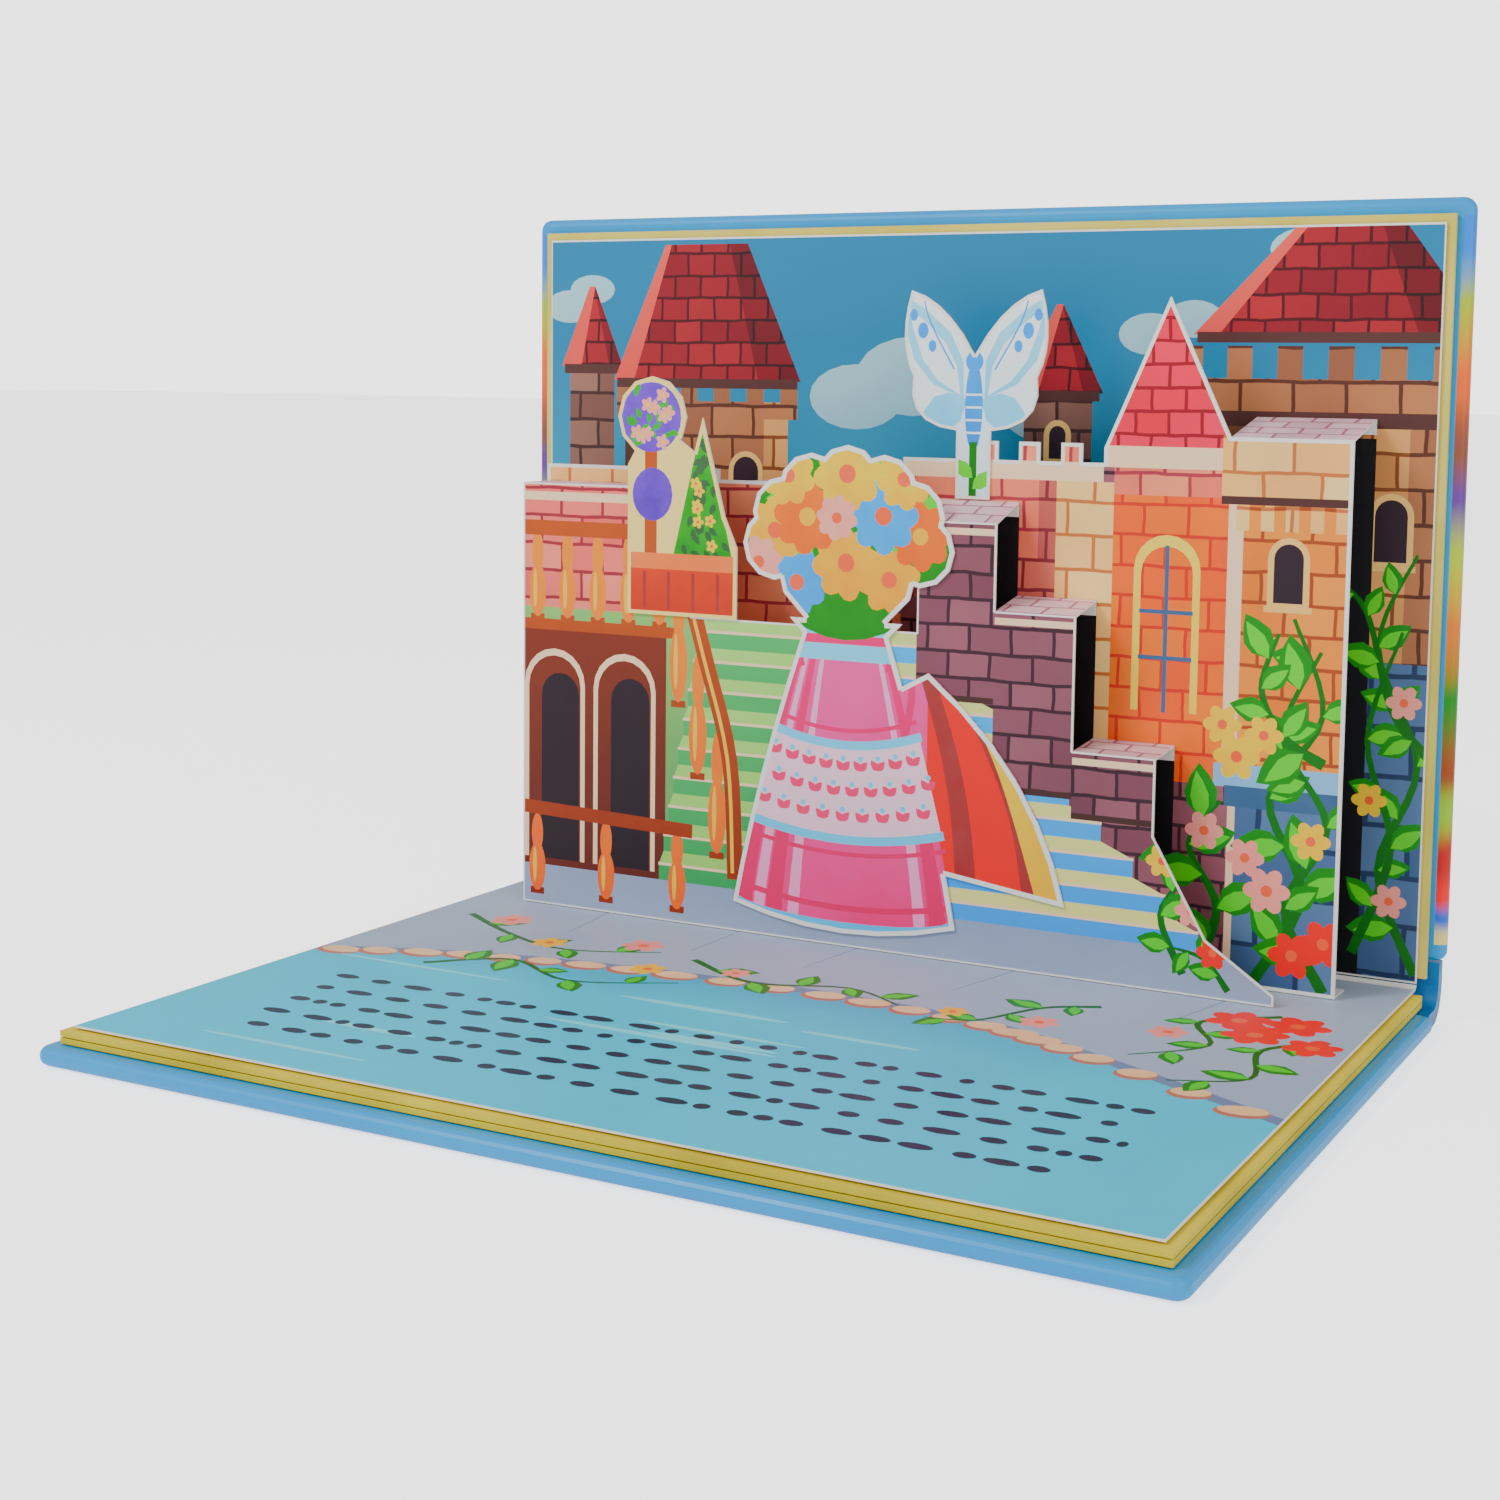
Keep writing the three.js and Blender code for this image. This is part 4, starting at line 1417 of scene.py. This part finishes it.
ink("cream_rim", "#fbe9bf")
ink("shrub_violet", "#6a4aa8", "#8f6cc4", URN_SHADE + 0.1, URN_SHADE + 0.17, 1.4, 160)
ink("shrub_green", "#3f9a52", "#6cc06a", URN_SHADE + 0.08, URN_SHADE + 0.17, 1.4, 160)
ink("shrub_shade", "#26703a")
ink("tub", "#b5573c", "#d77a55", URN_SHADE + 0.09, URN_SHADE + 0.12, 0.8, 60)
ink("tub_light", "#eaa07a")

BALL_CENTRE = (-75, 143.6)
BALL_RADIUS = 9.8
CONE_CENTRE = -58


def shrub_picture():
    """A clipped ball and a cone, with leaves and small flowers, in a tub."""
    draw = random.Random(17)
    ball_x, ball_z = BALL_CENTRE
    shapes = [
        (block(-90, 84, -40, 160), "cream_rim"),
        (block(-77, 104, -73, 140), "rail_brown"),
        (oval(ball_x, ball_z, BALL_RADIUS, BALL_RADIUS, 0, 24), "shrub_violet"),
        (oval(-74.5, 122, 6.6, 7.5, 0, 20), "shrub_violet"),
    ]
    for _ in range(26):
        angle, reach = draw.uniform(0, 360), draw.uniform(1, 8.6)
        x, z = ball_x + reach * math.cos(angle), ball_z + reach * math.sin(angle)
        shapes.append((leaf(x, z, 3.2, 1.8, draw.uniform(0, 360)), "shrub_green"))
    for _ in range(9):
        x, z = draw.uniform(-81, -69), draw.uniform(136, 151)
        shapes += blossom(x, z, 2.2, 5, "petal_pink", "petal_yellow")
    shapes.append(([(-67.5, 105), (-48.5, 105), (CONE_CENTRE, 144)], "shrub_green"))
    for _ in range(30):
        share = draw.random()
        x = CONE_CENTRE + draw.uniform(-8.4, 8.4) * (1 - share)
        shapes.append((leaf(x, 106 + 33 * share, 3.6, 1.9, draw.uniform(200, 340)), "shrub_shade"))
    for _ in range(7):
        share = draw.uniform(0, 0.7)
        x = CONE_CENTRE + draw.uniform(-6, 6) * (1 - share)
        shapes += blossom(x, 108 + 30 * share, 1.8, 5, "petal_yellow", "heart")
    shapes.append((block(-83, 89, -48, 105), "tub"))
    shapes.append((block(-84, 101, -47, 105.5), "tub_light"))
    for x in (-77, -69, -61, -53):
        shapes += strokes([(x, 90), (x, 100)], 1.0, 1.0, "cloth_dark")
    return shapes


printed_card("shrub_layer", shrub_picture(), RIM * 1.1, "cream_rim")

# Butterfly. A die-cut card with a white rim: white wings with pale blue tips on a stem, glued to
# the wall above the high block.

BUTTERFLY_SHADE = 0.08195
WING_SPAN = (BUTTERFLY_SHADE + 0.13, BUTTERFLY_SHADE + 0.19)
ink("wing_white", "#eaf6fc", "#ffffff", *WING_SPAN, 0.6, 90)
ink("wing_blue", "#9fd3ee", "#c6e7f6", *WING_SPAN, 0.8, 90)
ink("body_blue", "#2f84c6", "#5fb0e0", BUTTERFLY_SHADE + 0.12, BUTTERFLY_SHADE + 0.17, 0.8, 90)

WING_CENTRE = 17.0
WING_ROOT = 150
WING_TILT = 34
LOWER_WING_TILT = 62


def butterfly_picture():
    """Two pairs of wings, a banded body and its stem."""
    shapes = [(block(-10, 110, 45, 185), "wing_white")]
    for side in (-1, 1):
        turn = 90 - side * WING_TILT
        lower_turn = -90 + side * LOWER_WING_TILT
        root = WING_CENTRE + side * 3
        shapes += [
            (leaf(root, WING_ROOT, 34, 13, turn), "wing_blue"),
            (leaf(root + side, WING_ROOT + 1, 28, 8, turn), "wing_white"),
            (leaf(root - side, WING_ROOT, 17, 10, lower_turn), "wing_blue"),
        ]
        for reach, size in ((22, 1.6), (27, 1.2), (17, 1.2)):
            spot_x = root + reach * math.cos(math.radians(turn))
            spot_z = WING_ROOT + reach * math.sin(math.radians(turn))
            shapes.append((oval(spot_x, spot_z, size, size * 1.4, 0, 10), "body_blue"))
        feeler = [(WING_CENTRE + side * reach, z) for reach, z in ((6, 158), (13, 170), (15, 176))]
        shapes += strokes(curve(feeler, 4), 0.5, 0.4, "body_blue")
    shapes.append((oval(WING_CENTRE, 148, 2.6, 12, 0, 20), "body_blue"))
    for n in range(4):
        z = 141 + 3.4 * n
        shapes += strokes([(WING_CENTRE - 2.2, z), (WING_CENTRE + 2.2, z)], 0.6, 0.6, "wing_white")
    shapes += [
        (oval(WING_CENTRE, 160, 2.6, 2.8, 0, 14), "body_blue"),
        *strokes([(WING_CENTRE, 124), (WING_CENTRE, 138)], 2.2, 1.6, "vine"),
        (leaf(WING_CENTRE, 126, 8, 4, 40), "leaf_light"),
        (leaf(WING_CENTRE, 129, 8, 4, 140), "leaf_light"),
    ]
    return shapes


printed_card("butterfly_layer", butterfly_picture(), RIM * 0.8)

# Gutter fold. The strip of the spread's own paper that turns up from the lower page to the upper
# page.

gutter = merged_copy("gutter_fold", "gutter_strip")
give(gutter, paper)
smooth(gutter)
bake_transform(gutter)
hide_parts("gutter_fold")

# Floor, light and camera. A plain pale floor, one broad soft key from the upper left, a fill from
# the right, and the camera where the photograph was taken from.

FLOOR_SIZE = 40
FLOOR_DROP = 0.0002
FLOOR_ROUGHNESS = 0.7
FLOOR_GREY = 0.95
FLOOR_GLOW = (0.25, 1.7)
STUDIO_GLOW = (0.75, 3.0)


def seen_brighter(tree, dim, bright):
    """A strength that is bright for the camera alone, and dim where it lights the book."""
    seen = add_node(tree, "LightPath").outputs["Is Camera Ray"]
    inputs = {"Value": seen, "To Min": dim, "To Max": bright}
    return add_node(tree, "MapRange", inputs).outputs["Result"]


bpy.ops.object.select_all(action="DESELECT")
bpy.ops.mesh.primitive_plane_add(size=FLOOR_SIZE, location=(0, 0, -FLOOR_DROP))
floor = bpy.context.object
floor.name = "floor"
floor_material, floor_shader = new_material("floor_white", FLOOR_ROUGHNESS)
floor_shader.inputs["Base Color"].default_value = (FLOOR_GREY, FLOOR_GREY, FLOOR_GREY, 1)
floor_shader.inputs["Emission Color"].default_value = (1, 1, 1, 1)
floor_tree = floor_material.node_tree
floor_tree.links.new(
    seen_brighter(floor_tree, *FLOOR_GLOW), floor_shader.inputs["Emission Strength"]
)
give(floor, floor_material)

world = bpy.data.worlds.new("studio")
world.use_nodes = True
background = world.node_tree.nodes["Background"].inputs
background["Color"].default_value = (1, 1, 1, 1)
world.node_tree.links.new(
    seen_brighter(world.node_tree, *STUDIO_GLOW), background["Strength"]
)
bpy.context.scene.world = world

LIGHT_AIM = (0, 0.05, 0.08)


def soft_light(name, place, size, power):
    """A square soft box that faces the book."""
    data = bpy.data.lights.new(name, "AREA")
    data.size = size
    data.energy = power
    lamp = bpy.data.objects.new(name, data)
    lamp.location = place
    facing = (Vector(LIGHT_AIM) - Vector(place)).to_track_quat("-Z", "Y")
    lamp.rotation_euler = facing.to_euler()
    bpy.context.scene.collection.objects.link(lamp)


soft_light("key_light", (-0.7, -0.9, 1.1), 0.5, 13)
soft_light("fill_light", (1.0, -0.5, 0.5), 0.9, 3.5)

CAMERA_PLACE = (0.2597, -0.46535, 0.1614)
CAMERA_AZIMUTH = -27.336
CAMERA_DIP = 5.507
CAMERA_ROLL = 0.829
CAMERA_LENS = 53.45
CAMERA_SHIFT = (-0.0583, -0.0983)
CAMERA_CLIP = 0.01

azimuth, dip, roll = (
    math.radians(angle) for angle in (CAMERA_AZIMUTH, CAMERA_DIP, CAMERA_ROLL)
)
ahead = Vector(
    (math.sin(azimuth) * math.cos(dip), math.cos(azimuth) * math.cos(dip), -math.sin(dip))
)
level = Vector((math.cos(azimuth), -math.sin(azimuth), 0))
upward = level.cross(ahead)
right = math.cos(roll) * level + math.sin(roll) * upward
top = math.cos(roll) * upward - math.sin(roll) * level
facing = Matrix((right, top, -ahead)).transposed().to_4x4()
camera_data = bpy.data.cameras.new("camera")
camera_data.lens = CAMERA_LENS
camera_data.shift_x, camera_data.shift_y = CAMERA_SHIFT
camera_data.clip_start = CAMERA_CLIP
camera = bpy.data.objects.new("camera", camera_data)
camera.matrix_world = Matrix.Translation(CAMERA_PLACE) @ facing
bpy.context.scene.collection.objects.link(camera)
bpy.context.scene.camera = camera
